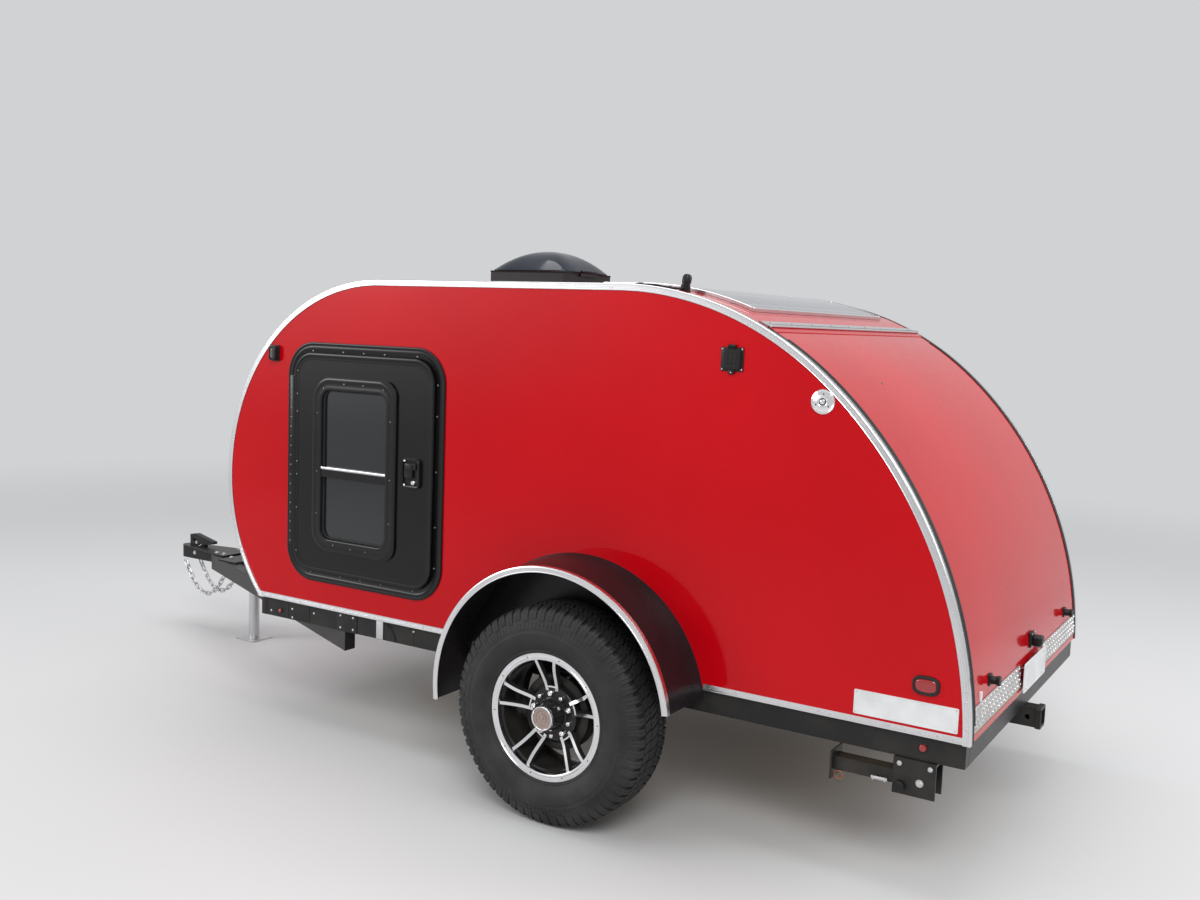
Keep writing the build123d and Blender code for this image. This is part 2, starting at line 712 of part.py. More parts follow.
# Rubber seal on the walls' edges and the sill, just clear of the hatch
seal_width = half_width - trim_top - inside
seal_rise = 3.0
seal_foot = 1.0
with BuildPart() as hatch_seal:
    for side in (1, -1):
        outer = side * (half_width - trim_top)
        ahead = side * seal_width
        extrude(outline(outer, -seal_rise), amount=ahead)
        extrude(outline(outer), amount=ahead, mode=Mode.SUBTRACT)
    extrude(behind_seam(half_width, hinge_turn, sill_z + seal_foot), amount=2 * half_width, mode=Mode.INTERSECT)
keep(hatch_seal.part, "hatch_seal")

# Edge trim: an angle that follows the whole side outline
with BuildPart() as edge_trim:
    proud = half_width + trim_sheet
    extrude(outline(proud, -trim_sheet, sill_z - trim_sheet), amount=trim_sheet + trim_top)
    extrude(outline(half_width), amount=trim_top, mode=Mode.SUBTRACT)
    extrude(outline(proud, trim_face, sill_z + trim_top), amount=trim_sheet, mode=Mode.SUBTRACT)
    slab((rail_rear, rail_y - rail_width, 0.0), (rail_front, half_width, sill_z), mode=Mode.SUBTRACT)
    fender_cut = fender_radius + flare + fender_gap
    with BuildSketch(Plane.XZ.offset(-proud)):
        with Locations(fender_centre):
            Circle(fender_cut)
    extrude(amount=2 * trim_top, mode=Mode.SUBTRACT)
keep_pair(edge_trim.part, "edge_trim")

# Doors: fixed flanged frame, leaf with a hole for its window, pane, handle and hinge knuckle
flange_sheet = 5.0
leaf_gap = clearance
leaf_depth = 26.0
lip_over = 9.0
lip_sheet = 4.0
lip_face = half_width + flange_sheet + clearance
pin_radius = 4.0
pin_play = 0.3
strip_width = 24.0
frame_face = half_width + flange_sheet
leaf_outer = lip_face + lip_sheet
pin_x = door_x + leaf_width / 2 + lip_over
pin_y = leaf_outer - lip_sheet / 2
knuckle_low = door_z - leaf_height / 2 + leaf_corner
knuckle_high = door_z + leaf_height / 2 - leaf_corner


def door_face(y, width, height, corner):
    """A round-cornered face about the door's middle, at Y = y."""
    with BuildSketch(Plane.XZ.offset(-y)) as face:
        with Locations((door_x, door_z)):
            RectangleRounded(width, height, corner)
    return face.sketch


with BuildPart() as door_frame:
    extrude(door_face(frame_face, door_width, door_height, door_corner), amount=flange_sheet)
    extrude(door_face(half_width, leaf_width + 2 * liner, leaf_height + 2 * liner, leaf_corner + liner),
            amount=wall)
    extrude(door_face(frame_face, leaf_width, leaf_height, leaf_corner), amount=flange_sheet + wall,
            mode=Mode.SUBTRACT)
    slab((pin_x + pin_radius + pin_play, frame_face, knuckle_low), (pin_x + strip_width, pin_y, knuckle_high))
keep_pair(door_frame.part, "door_frame")

pane_width = 324.0
pane_height = 571.0
pane_corner = 40.0
pane_x = axle_x + 1035.0
pane_z = 1050.0
bezel = 48.0
bezel_rise = 8.0
bezel_round = 0.4            # growth of the corner's radius, as a share of the margin
pane_thickness = 6.0
pane_depth = 8.0             # pane's outer face, behind the leaf's
bar_z = 1022.0
bar_half = 19.0
bar_depth = 14.0
bar_back = 2.0               # bar's face, behind the bezel's
leaf_inner = frame_face - leaf_depth
inset_width = leaf_width - 2 * leaf_gap
inset_height = leaf_height - 2 * leaf_gap


def pane_face(y, margin):
    """The window's outline at Y = y, grown by a margin."""
    with BuildSketch(Plane.XZ.offset(-y)) as face:
        with Locations((pane_x, pane_z)):
            corner = pane_corner + bezel_round * margin
            RectangleRounded(pane_width + 2 * margin, pane_height + 2 * margin, corner)
    return face.sketch


with BuildPart() as door:
    extrude(door_face(lip_face, inset_width, inset_height, leaf_corner - leaf_gap),
            amount=lip_face - leaf_inner)
    lip_width = leaf_width + 2 * lip_over
    lip_height = leaf_height + 2 * lip_over
    extrude(door_face(leaf_outer, lip_width, lip_height, leaf_corner + lip_over), amount=lip_sheet)
    extrude(pane_face(leaf_outer + bezel_rise, bezel), amount=bezel_rise)
    extrude(pane_face(leaf_outer + bezel_rise, 0.0), amount=far, mode=Mode.SUBTRACT)
    bar_face = leaf_outer + bezel_rise - bar_back
    pane_left = pane_x - pane_width / 2
    slab((pane_left, bar_face - bar_depth, bar_z - bar_half),
         (pane_left + pane_width, bar_face, bar_z + bar_half))
    with BuildSketch(Plane.XY.offset(knuckle_low)):
        with Locations((pin_x, pin_y)):
            Circle(pin_radius)
    extrude(amount=knuckle_high - knuckle_low)
keep_pair(door.part, "door")

with BuildPart() as pane:
    extrude(pane_face(leaf_outer - pane_depth, 0.0), amount=pane_thickness)
keep_pair(pane.part, "pane")

handle_x = axle_x + 750.0
handle_z = 1058.0
handle_half = (43.0, 53.5)
handle_plate = 12.0
paddle_half = 29.0
paddle_low = -18.0           # from the handle's middle
paddle_high = 40.0
paddle_rise = 18.0
with BuildPart() as door_handle:
    plate_face = leaf_outer + handle_plate
    slab((handle_x - handle_half[0], leaf_outer, handle_z - handle_half[1]),
         (handle_x + handle_half[0], plate_face, handle_z + handle_half[1]))
    slab((handle_x - paddle_half, plate_face, handle_z + paddle_low),
         (handle_x + paddle_half, plate_face + paddle_rise, handle_z + paddle_high))
keep_pair(door_handle.part, "door_handle")

# Roof vent: upstand through the roof with a flange, and a domed lid hinged at its rear edge
upstand_wall = 10.0
upstand_top = 1818.0
lid_play = 0.3
lid_half = 183.0
lid_skirt = 14.0
lid_dome = 72.0
lid_sheet = 4.0
lid_corner = 45.0
lid_shoulder = (0.62, 0.70, 90.0)   # share of the width, share of the dome's height, corner radius
lid_crown = (0.20, 1.00, 30.0)
vent_hinge_half = 60.0
vent_flange = 25.0           # flange on the roof, out from the upstand
vent_flange_sheet = 4.0
vent_block = 14.0            # hinge block's height
vent_tab = (10.0, 3.0, 10.0)   # lid's tab: out from the lid, in under its wall, height
lid_low = upstand_top + lid_play
with BuildPart() as vent_base:
    edge = vent_half + vent_flange
    slab((vent_x - edge, -edge, roof_z), (vent_x + edge, edge, roof_z + vent_flange_sheet))
    slab((vent_x - vent_half, -vent_half, roof_z - shell), (vent_x + vent_half, vent_half, upstand_top))
    slab((vent_x - lid_half, -vent_hinge_half, upstand_top - vent_block),
         (vent_x, vent_hinge_half, upstand_top))
    inner = vent_half - upstand_wall
    slab((vent_x - inner, -inner, roof_z - 2 * shell), (vent_x + inner, inner, upstand_top + lid_play),
         mode=Mode.SUBTRACT)
keep(vent_base.part, "vent_base")


def lid_section(height, side, corner):
    """A round-cornered square, level across the lid."""
    with BuildSketch(Plane.XY.offset(lid_low + height)) as face:
        with Locations((vent_x, 0)):
            RectangleRounded(side, side, corner)
    return face.sketch


def dome(shrink):
    """The lid's outer form, or the hollow inside it, drawn in by a shrink."""
    side = 2 * (lid_half - shrink)
    eaves = lid_skirt - shrink
    shoulder_share, shoulder_rise, shoulder_corner = lid_shoulder
    crown_share, crown_rise, crown_corner = lid_crown
    rim = lid_section(eaves, side, lid_corner - shrink)
    shoulder_level = lid_section(eaves + shoulder_rise * lid_dome, shoulder_share * side, shoulder_corner - shrink)
    crown = lid_section(eaves + crown_rise * lid_dome, crown_share * side, crown_corner - shrink)
    with BuildPart() as form:
        extrude(lid_section(0.0, side, lid_corner - shrink), amount=eaves)
        loft([rim, shoulder_level])
        loft([shoulder_level, crown])
    return form.part


with BuildPart() as vent_lid:
    add(dome(0.0))
    add(dome(lid_sheet), mode=Mode.SUBTRACT)
    tab_out, tab_in, tab_height = vent_tab
    slab((vent_x - lid_half - tab_out, -vent_hinge_half, lid_low),
         (vent_x - lid_half + tab_in, vent_hinge_half, lid_low + tab_height))
keep(vent_lid.part, "vent_lid")

# Solar panel: a flexible sheet on a thin base over the roof's rear arc
panel_half = 600.0
panel_front = axle_x + 75.0
panel_rear = axle_x - 485.0
panel_low = 0.3
panel_sheet = 9.7
with BuildPart() as solar_panel:
    extrude(outline(panel_half, -panel_low - panel_sheet), amount=2 * panel_half)
    extrude(outline(panel_half, -panel_low), amount=2 * panel_half, mode=Mode.SUBTRACT)
    slab((-far, -far, -far), (far, far, rear_centre[1]), mode=Mode.SUBTRACT)
    slab((panel_front, -far, -far), (far, far, far), mode=Mode.SUBTRACT)
    slab((-far, -far, -far), (panel_rear, far, far), mode=Mode.SUBTRACT)
keep(solar_panel.part, "solar_panel")

# Side fittings: a porch light and red markers on each side, a capped inlet and a round lamp on the left
porch_size = (43.0, 28.0, 62.0)
porch_set_back = 265.0       # behind the nose
porch_z = 1461.0
porch_middle = (nose_x - porch_set_back, half_width + porch_size[1] / 2, porch_z)
with BuildPart() as porch_lights:
    for side in (1, -1):
        with Locations((porch_middle[0], side * porch_middle[1], porch_middle[2])):
            Box(*porch_size)
keep(porch_lights.part, "porch_lights")

inlet_size = (82.0, 12.0, 76.0)
inlet_depth = 128.0          # below the roof's skin
inlet_turn = 25.0
inlet_middle = arc_point(rear_centre, rear_radius - inlet_depth, 90.0 + inlet_turn)
with BuildPart() as side_inlet:
    with Locations((inlet_middle[0], half_width + inlet_size[1] / 2, inlet_middle[1])):
        Box(*inlet_size)
keep(side_inlet.part, "side_inlet")

lamp_radius = 37.0
lamp_turn = 42.4
lamp_gap = 0.5               # off the edge trim
lamp_depth = 10.0
lamp_centre = arc_point(rear_centre, rear_radius - trim_face - lamp_radius - lamp_gap, 90.0 + lamp_turn)
with BuildPart() as side_lamp:
    with BuildSketch(Plane.XZ.offset(-half_width)):
        with Locations(lamp_centre):
            Circle(lamp_radius)
    extrude(amount=-lamp_depth)
keep(side_lamp.part, "side_lamp")

oval_z = 634.0
marker_places = (             # x, z, half length, half height, face it sits on
    (tail_x(oval_z) + 120.0, oval_z, 39.5, 28.5, half_width),
    (rail_rear + 121.0, rail_bottom + 39.0, 14.0, 14.0, rail_y),
    (rail_front - 104.0, rail_bottom + 28.0, 9.0, 9.0, rail_y),
)
marker_depth = 9.0
with BuildPart() as markers:
    for side in (1, -1):
        for x, z, half_x, half_z, face_y in marker_places:
            with BuildSketch(Plane.XZ.offset(-side * face_y)):
                with Locations((x, z)):
                    Ellipse(half_x, half_z) if half_x > half_z else Circle(half_x)
            extrude(amount=-side * marker_depth)
keep(markers.part, "markers")

# Bright trim round the fender's outer edge
fender_bright = 19.0
bright_sheet = 2.0
with BuildPart() as fender_bright_edge:
    bright_face = fender_edge + bright_sheet
    extrude(fender_ring(bright_face, fender_radius, fender_radius - fender_bright), amount=bright_sheet)
keep_pair(fender_bright_edge.part, "fender_edge")

# Stabilisers: a bracket under each rail's rear end, and a channel leg that folds forwards
pivot_x = rail_rear + 122.0
pivot_z = 345.0
stabiliser_y = 724.0
leg_half = 25.0
leg_wall = 4.0
leg_rise = 20.0
leg_reach = 262.0
cheek_gap = clearance
cheek_sheet = 5.0
bracket_sheet = 8.0
bracket_length = 125.0
cheek_low = 302.0
stay_pin_radius = 6.0
stay_pin_play = 0.3
foot_half = 45.0
foot_top = 40.0              # foot plate's upper edge, above the pivot
foot_sheet = 6.0
bracket_back = 45.0          # bracket's rear edge, behind the pivot
cheek_inner = leg_half + cheek_gap
cheek_outer = cheek_inner + cheek_sheet
with BuildPart() as stabiliser_bracket:
    bracket_rear = pivot_x - bracket_back
    bracket_front = bracket_rear + bracket_length
    slab((bracket_rear, stabiliser_y - cheek_outer, rail_bottom - bracket_sheet),
         (bracket_front, stabiliser_y + cheek_outer, rail_bottom))
    for hand in (1, -1):
        middle = stabiliser_y + hand * (cheek_inner + cheek_outer) / 2
        slab((bracket_rear, middle - cheek_sheet / 2, cheek_low),
             (bracket_front, middle + cheek_sheet / 2, rail_bottom))
    with BuildSketch(Plane.XZ.offset(-(stabiliser_y + cheek_outer))):
        with Locations((pivot_x, pivot_z)):
            Circle(stay_pin_radius)
    extrude(amount=2 * cheek_outer)
keep_pair(stabiliser_bracket.part, "stabiliser_bracket")

with BuildPart() as stabiliser:
    leg_rear = pivot_x - leg_rise
    leg_front = pivot_x + leg_reach
    slab((leg_rear, stabiliser_y - leg_half, pivot_z - leg_rise),
         (leg_front, stabiliser_y + leg_half, pivot_z + leg_rise))
    slab((leg_rear, stabiliser_y - leg_half + leg_wall, pivot_z - leg_rise),
         (leg_front, stabiliser_y + leg_half - leg_wall, pivot_z + leg_rise - leg_wall), mode=Mode.SUBTRACT)
    slab((leg_front, stabiliser_y - foot_half, pivot_z - foot_half),
         (leg_front + foot_sheet, stabiliser_y + foot_half, pivot_z + foot_top))
    with BuildSketch(Plane.XZ.offset(-(stabiliser_y + leg_half))):
        with Locations((pivot_x, pivot_z)):
            Circle(stay_pin_radius + stay_pin_play)
    extrude(amount=2 * leg_half, mode=Mode.SUBTRACT)
keep_pair(stabiliser.part, "stabiliser")

# Mattress on the floor ahead of the bulkhead
mattress_gap = 0.3
mattress_height = 100.0
mattress_space = 60.0        # ahead of it, to the front skin at the floor
mattress_front = foot_x(floor_top, shell) - mattress_space
with BuildPart() as mattress:
    slab((bulkhead_x + bulkhead_thickness + mattress_gap, mattress_gap - inside, floor_top + mattress_gap),
         (mattress_front, inside - mattress_gap, floor_top + mattress_height))
keep(mattress.part, "mattress")
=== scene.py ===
from math import asin, ceil, cos, degrees, hypot, pi, radians, sin, sqrt

import bmesh
import bpy
from mathutils import Matrix, Vector


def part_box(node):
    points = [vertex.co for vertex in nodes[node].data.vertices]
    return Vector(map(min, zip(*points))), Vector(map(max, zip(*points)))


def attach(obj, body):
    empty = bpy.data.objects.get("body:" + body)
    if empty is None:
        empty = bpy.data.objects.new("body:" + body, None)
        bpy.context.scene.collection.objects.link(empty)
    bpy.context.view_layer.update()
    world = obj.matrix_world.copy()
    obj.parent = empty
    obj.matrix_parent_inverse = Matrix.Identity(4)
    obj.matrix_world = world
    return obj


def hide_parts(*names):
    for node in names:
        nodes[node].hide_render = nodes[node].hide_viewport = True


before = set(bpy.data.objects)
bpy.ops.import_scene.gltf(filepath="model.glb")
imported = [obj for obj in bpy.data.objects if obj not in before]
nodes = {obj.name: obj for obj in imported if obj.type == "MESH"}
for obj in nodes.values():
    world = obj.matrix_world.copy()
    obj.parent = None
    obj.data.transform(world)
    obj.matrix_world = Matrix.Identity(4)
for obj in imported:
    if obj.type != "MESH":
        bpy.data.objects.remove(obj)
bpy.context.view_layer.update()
scene = bpy.context.scene

# Places shared with the frame, in metres
AXLE_X = -0.8
SILL_Z = 0.485
NOSE_X = AXLE_X + 1.731
NOSE_Z = 0.958
LOW_RADIUS = 0.713
NOSE_RADIUS = 0.792
ROOF_Z = NOSE_Z + NOSE_RADIUS
ROOF_END_X = AXLE_X - 0.087
REAR_RADIUS = 1.108
TAIL_RADIUS = 1.3604
REAR_TURN = 40.4
HINGE_TURN = 27.4
OUT, UP, BACK = (0, 1, 0), (0, 0, 1), (-1, 0, 0)
RAIL_FACE = 0.75
LOW_CENTRE = (NOSE_X - LOW_RADIUS, NOSE_Z)
NOSE_CENTRE = (NOSE_X - NOSE_RADIUS, NOSE_Z)
REAR_CENTRE = (ROOF_END_X, ROOF_Z - REAR_RADIUS)


def turn(steps):
    """Angles once round a circle."""
    return [2 * pi * k / steps for k in range(steps)]


def arc_point(centre, radius, angle):
    """Point on a circle in the side view."""
    return (centre[0] + radius * cos(radians(angle)), centre[1] + radius * sin(radians(angle)))


TAIL_JOINT = arc_point(REAR_CENTRE, REAR_RADIUS, 90 + REAR_TURN)
TAIL_CENTRE = arc_point(TAIL_JOINT, TAIL_RADIUS, REAR_TURN - 90)


# Camera and studio
CAMERA_PLACE = (-2.8886, 4.0878, 1.6211)
CAMERA_TURN = (31.696, -6.004, 2.108)
CAMERA_LENS, CAMERA_SENSOR = 36.0234, 36.0


def make_camera():
    """The photograph's camera, solved from the trailer's outline."""
    yaw, pitch, roll = (radians(angle) for angle in CAMERA_TURN)
    ahead = Vector((sin(yaw) * cos(pitch), -cos(yaw) * cos(pitch), sin(pitch)))
    right = ahead.cross(Vector(UP)).normalized()
    up = right.cross(ahead)
    rolled_right = cos(roll) * right + sin(roll) * up
    rolled_up = -sin(roll) * right + cos(roll) * up
    turned = Matrix((rolled_right, rolled_up, -ahead)).transposed().to_4x4()
    data = bpy.data.cameras.new("camera")
    data.sensor_width = CAMERA_SENSOR
    data.lens = CAMERA_LENS
    camera = bpy.data.objects.new("camera", data)
    camera.matrix_world = Matrix.Translation(CAMERA_PLACE) @ turned
    scene.collection.objects.link(camera)
    scene.camera = camera


def put_value(tree, value, socket):
    """Link an output to a socket, or set the socket to a plain value."""
    if isinstance(value, bpy.types.NodeSocket):
        tree.links.new(value, socket)
    else:
        socket.default_value = value


def put_node(tree, kind, inputs=None, **settings):
    """Add a shader node with its settings and its inputs."""
    made = tree.nodes.new("ShaderNode" + kind)
    for key, value in settings.items():
        setattr(made, key, value)
    for key, value in (inputs or {}).items():
        put_value(tree, value, made.inputs[key])
    return made


def fade_edges(data, share):
    """Let a soft box fade out over a share of its width toward each edge."""
    data.use_nodes = True
    tree = data.node_tree
    place = put_node(tree, "NewGeometry").outputs["Parametric"]
    rises = []
    for across in put_node(tree, "SeparateXYZ", {0: place}).outputs[:2]:
        edge = put_node(tree, "Math", {0: across, 1: 0.5}, operation="PINGPONG").outputs[0]
        reach = {"Value": edge, "From Max": share}
        rises.append(put_node(tree, "MapRange", reach, interpolation_type="SMOOTHSTEP").outputs["Result"])
    strength = put_node(tree, "Math", {0: rises[0], 1: rises[1]}, operation="MULTIPLY").outputs[0]
    put_value(tree, strength, tree.nodes["Emission"].inputs["Strength"])


def area_light(name, place, aim, size, watts, tint=(1.0, 1.0, 1.0), fade=0.0, spread=180.0):
    """A soft box that looks at a point."""
    data = bpy.data.lights.new(name, "AREA")
    data.shape = "RECTANGLE"
    data.size, data.size_y = size
    data.energy = watts
    data.color = tint
    data.spread = radians(spread)
    if fade:
        fade_edges(data, fade)
    light = bpy.data.objects.new(name, data)
    light.location = place
    light.rotation_euler = (Vector(aim) - Vector(place)).to_track_quat("-Z", "Y").to_euler()
    scene.collection.objects.link(light)


class Tree:
    """A short way to write a material's nodes."""

    def __init__(self, name):
        self.material = bpy.data.materials.new(name)
        self.material.use_nodes = True
        self.tree = self.material.node_tree
        self.bsdf = self.tree.nodes["Principled BSDF"]
        self.coords = self.tree.nodes.new("ShaderNodeTexCoord")
        self.place = self.coords.outputs["Object"]

    def node(self, kind, inputs=None, **settings):
        return put_node(self.tree, kind, inputs, **settings)

    def set(self, **inputs):
        for key, value in inputs.items():
            put_value(self.tree, value, self.bsdf.inputs[key.replace("_", " ")])

    def scaled(self, scale):
        return self.node("Mapping", {"Vector": self.place, "Scale": scale}).outputs["Vector"]

    def noise(self, scale, detail=3.0, rough=0.55, vector=None):
        return self.node("TexNoise", {"Vector": vector or self.place, "Scale": scale, "Detail": detail,
                                      "Roughness": rough}).outputs["Fac"]

    def spread(self, value, low, high, to_low, to_high):
        return self.node("MapRange", {"Value": value, "From Min": low, "From Max": high, "To Min": to_low,
                                      "To Max": to_high}).outputs["Result"]

    def maths(self, operation, a, b=0.0):
        return self.node("Math", {0: a, 1: b}, operation=operation).outputs[0]

    def mix(self, share, a, b):
        """Mix two colours; these are the sockets of the node's colour form."""
        return self.node("Mix", {0: share, 6: a, 7: b}, data_type="RGBA").outputs[2]

    def mottled(self, pattern, a, b, low=0.35, high=0.7):
        """Go from one colour to another over a range of a pattern."""
        return self.mix(self.spread(pattern, low, high, 0.0, 1.0), a, b)

    def waves(self, scale, direction, distortion=0.0):
        return self.node("TexWave", {"Vector": self.place, "Scale": scale, "Distortion": distortion},
                         bands_direction=direction).outputs["Fac"]

    def off_middle(self, value, pitch):
        """How far a value is from the middle of its cell, in cells."""
        cell = self.maths("FRACT", self.maths("DIVIDE", value, pitch))
        return self.maths("ABSOLUTE", self.maths("SUBTRACT", cell, 0.5))

    def bump(self, height, strength, distance, below=None):
        inputs = {"Height": height, "Strength": strength, "Distance": distance}
        if below is not None:
            inputs["Normal"] = below
        return self.node("Bump", inputs).outputs["Normal"]

    def axis(self, index):
        return self.node("SeparateXYZ", {"Vector": self.place}).outputs[index]


def rgb(r, g, b):
    return (r, g, b, 1.0)


def dusty(t, colour, amount, top=0.75, tint=(0.3, 0.25, 0.19)):
    """Mix road dust over a colour, more of it low down and in patches."""
    low = t.spread(t.axis(2), top, 0.15, 0.0, 1.0)
    patch = t.spread(t.noise(9.0, 5.0), 0.42, 0.7, 0.15, 1.0)
    share = t.maths("MULTIPLY", t.maths("MULTIPLY", low, patch), amount)
    return t.mix(share, colour, rgb(*tint)), share


CABIN_MIDDLE = (-0.5, 0.0, 0.95)


def red_gloss():
    """Glossy red skin, with bare ply on the faces that look into the cabin."""
    t = Tree("red_gloss")
    colour = t.mottled(t.noise(1.4, 2.0), rgb(0.48, 0.0004, 0.005), rgb(0.43, 0.0002, 0.004), 0.35, 0.65)
    colour, _ = dusty(t, colour, 0.03, 0.62)
    away = t.node("VectorMath", {0: t.place, 1: CABIN_MIDDLE}, operation="SUBTRACT").outputs["Vector"]
    normal = t.coords.outputs["Normal"]
    facing = t.node("VectorMath", {0: normal, 1: away}, operation="DOT_PRODUCT").outputs["Value"]
    outside = t.maths("GREATER_THAN", facing, 0.0)
    grain = t.noise(1.0, 6.0, vector=t.scaled((4.0, 60.0, 60.0)))
    colour = t.mix(outside, t.mottled(grain, rgb(0.56, 0.4, 0.24), rgb(0.4, 0.26, 0.13), 0.3), colour)
    smear = t.spread(t.noise(22.0, 4.0, vector=t.scaled((1.0, 1.0, 3.0))), 0.35, 0.75, 0.16, 0.28)
    smear = t.maths("ADD", smear, t.maths("MULTIPLY", t.maths("SUBTRACT", 1.0, outside), 0.28))
    wave = t.bump(t.noise(5.0, 1.0), 0.05, 0.004)
    peel = t.bump(t.noise(620.0, 2.0), 0.02, 0.0004, wave)
    coat = t.maths("MULTIPLY", outside, 0.72)
    t.set(Base_Color=colour, Roughness=smear, Specular_IOR_Level=0.03, Normal=wave,
          Coat_Weight=coat, Coat_Roughness=0.015, Coat_IOR=1.32, Coat_Normal=peel)
    return t.material


def bright_metal(name, tone=0.74, rough=0.24, grain=160.0, tint=(1.0, 1.0, 1.02)):
    t = Tree(name)
    fine = t.noise(grain, 3.0)
    base = t.mottled(t.noise(11.0, 4.0), rgb(*[tone * c for c in tint]),
                     rgb(*[tone * 0.92 * c for c in tint]))
    base, _ = dusty(t, base, 0.06, 0.6)
    t.set(Base_Color=base, Metallic=1.0, Roughness=t.spread(fine, 0.3, 0.7, rough * 0.88, rough * 1.15),
          Normal=t.bump(fine, 0.02, 0.0002))
    return t.material


def black_coat(name, tone=0.009, rough=0.32, dust=0.1, grain=420.0):
    t = Tree(name)
    base = t.mottled(t.noise(6.0, 4.0), rgb(tone, tone, tone * 1.08),
                     rgb(tone * 1.5, tone * 1.5, tone * 1.55))
    base, share = dusty(t, base, dust)
    skin = t.noise(grain, 3.0)
    rough = t.maths("ADD", t.spread(skin, 0.3, 0.7, rough - 0.05, rough + 0.08), share)
    t.set(Base_Color=base, Roughness=rough, Specular_IOR_Level=0.24, Normal=t.bump(skin, 0.1, 0.0004))
    return t.material


def rubber(name, tone=0.012, rough=0.6, dust=0.12):
    t = Tree(name)
    base = t.mottled(t.noise(11.0, 6.0), rgb(tone, tone, tone), rgb(tone * 1.6, tone * 1.6, tone * 1.62))
    base, _ = dusty(t, base, dust, 0.9, (0.2, 0.19, 0.18))
    fine = t.noise(700.0, 4.0)
    t.set(Base_Color=base, Roughness=t.spread(fine, 0.3, 0.7, rough - 0.08, rough + 0.1),
          Specular_IOR_Level=0.3, Normal=t.bump(fine, 0.22, 0.0005))
    return t.material


def smoked_glass():
    t = Tree("smoked_glass")
    haze = t.spread(t.noise(30.0, 4.0), 0.4, 0.75, 0.015, 0.05)
    t.set(Base_Color=rgb(0.012, 0.013, 0.015), Roughness=haze, Metallic=0.0, Specular_IOR_Level=0.45,
          Coat_Weight=0.4, Coat_Roughness=0.01, Alpha=0.93)
    return t.material


def birch():
    t = Tree("birch_ply")
    grain = t.noise(1.0, 6.0, vector=t.scaled((3.0, 60.0, 60.0)))
    base = t.mottled(grain, rgb(0.52, 0.36, 0.2), rgb(0.34, 0.21, 0.1), 0.3)
    t.set(Base_Color=base, Roughness=t.spread(grain, 0.3, 0.7, 0.38, 0.52),
          Normal=t.bump(grain, 0.08, 0.0005))
    return t.material


def cloth():
    t = Tree("mattress_cloth")
    weave = t.maths("MULTIPLY", t.waves(160.0, "X", 0.6), t.waves(160.0, "Y", 0.6))
    base = t.mix(t.noise(5.0), rgb(0.22, 0.23, 0.26), rgb(0.16, 0.17, 0.2))
    t.set(Base_Color=base, Roughness=0.85, Sheen_Weight=0.3, Normal=t.bump(weave, 0.3, 0.001))
    return t.material


def plastic(name, colour, rough=0.35, grain=300.0, depth=0.12):
    t = Tree(name)
    fine = t.noise(grain, 3.0)
    base = t.mottled(t.noise(12.0, 3.0), rgb(*colour), rgb(*[c * 0.82 for c in colour]), 0.3)
    t.set(Base_Color=base, Roughness=t.spread(fine, 0.3, 0.7, rough - 0.05, rough + 0.07),
          Specular_IOR_Level=0.28, Normal=t.bump(fine, depth, 0.0004))
    return t.material


def lens(name, colour):
    t = Tree(name)
    rib = t.waves(90.0, "X")
    base = t.mix(t.noise(40.0), rgb(*colour), rgb(*[c * 0.7 for c in colour]))
    t.set(Base_Color=base, Roughness=t.spread(rib, 0.0, 1.0, 0.06, 0.14), Coat_Weight=1.0,
          Coat_Roughness=0.03, Normal=t.bump(rib, 0.25, 0.0008))
    return t.material


def tread_plate_metal():
    t = Tree("tread_plate_metal")
    cloud = t.noise(16.0, 5.0)
    base = t.mottled(cloud, rgb(0.62, 0.61, 0.6), rgb(0.5, 0.49, 0.48))
    base, _ = dusty(t, base, 0.2, 0.8)
    t.set(Base_Color=base, Metallic=1.0, Roughness=t.spread(cloud, 0.3, 0.7, 0.2, 0.36))
    return t.material


CELL = 0.125


def solar_cells():
    t = Tree("solar_cells")
    y = t.axis(1)
    edge = t.maths("MAXIMUM", t.off_middle(t.axis(0), CELL), t.off_middle(y, CELL))
    edge = t.maths("GREATER_THAN", edge, 0.485)
    finger = t.maths("GREATER_THAN", t.off_middle(y, CELL / 3), 0.48)
    base = t.mix(t.noise(3.0), rgb(0.012, 0.022, 0.06), rgb(0.008, 0.014, 0.04))
    base = t.mix(t.maths("MULTIPLY", finger, 0.5), base, rgb(0.3, 0.32, 0.36))
    base = t.mix(edge, base, rgb(0.45, 0.47, 0.5))
    t.set(Base_Color=base, Roughness=0.16, Coat_Weight=0.8, Coat_Roughness=0.06,
          Normal=t.bump(t.noise(180.0, 2.0), 0.05, 0.0005))
    return t.material


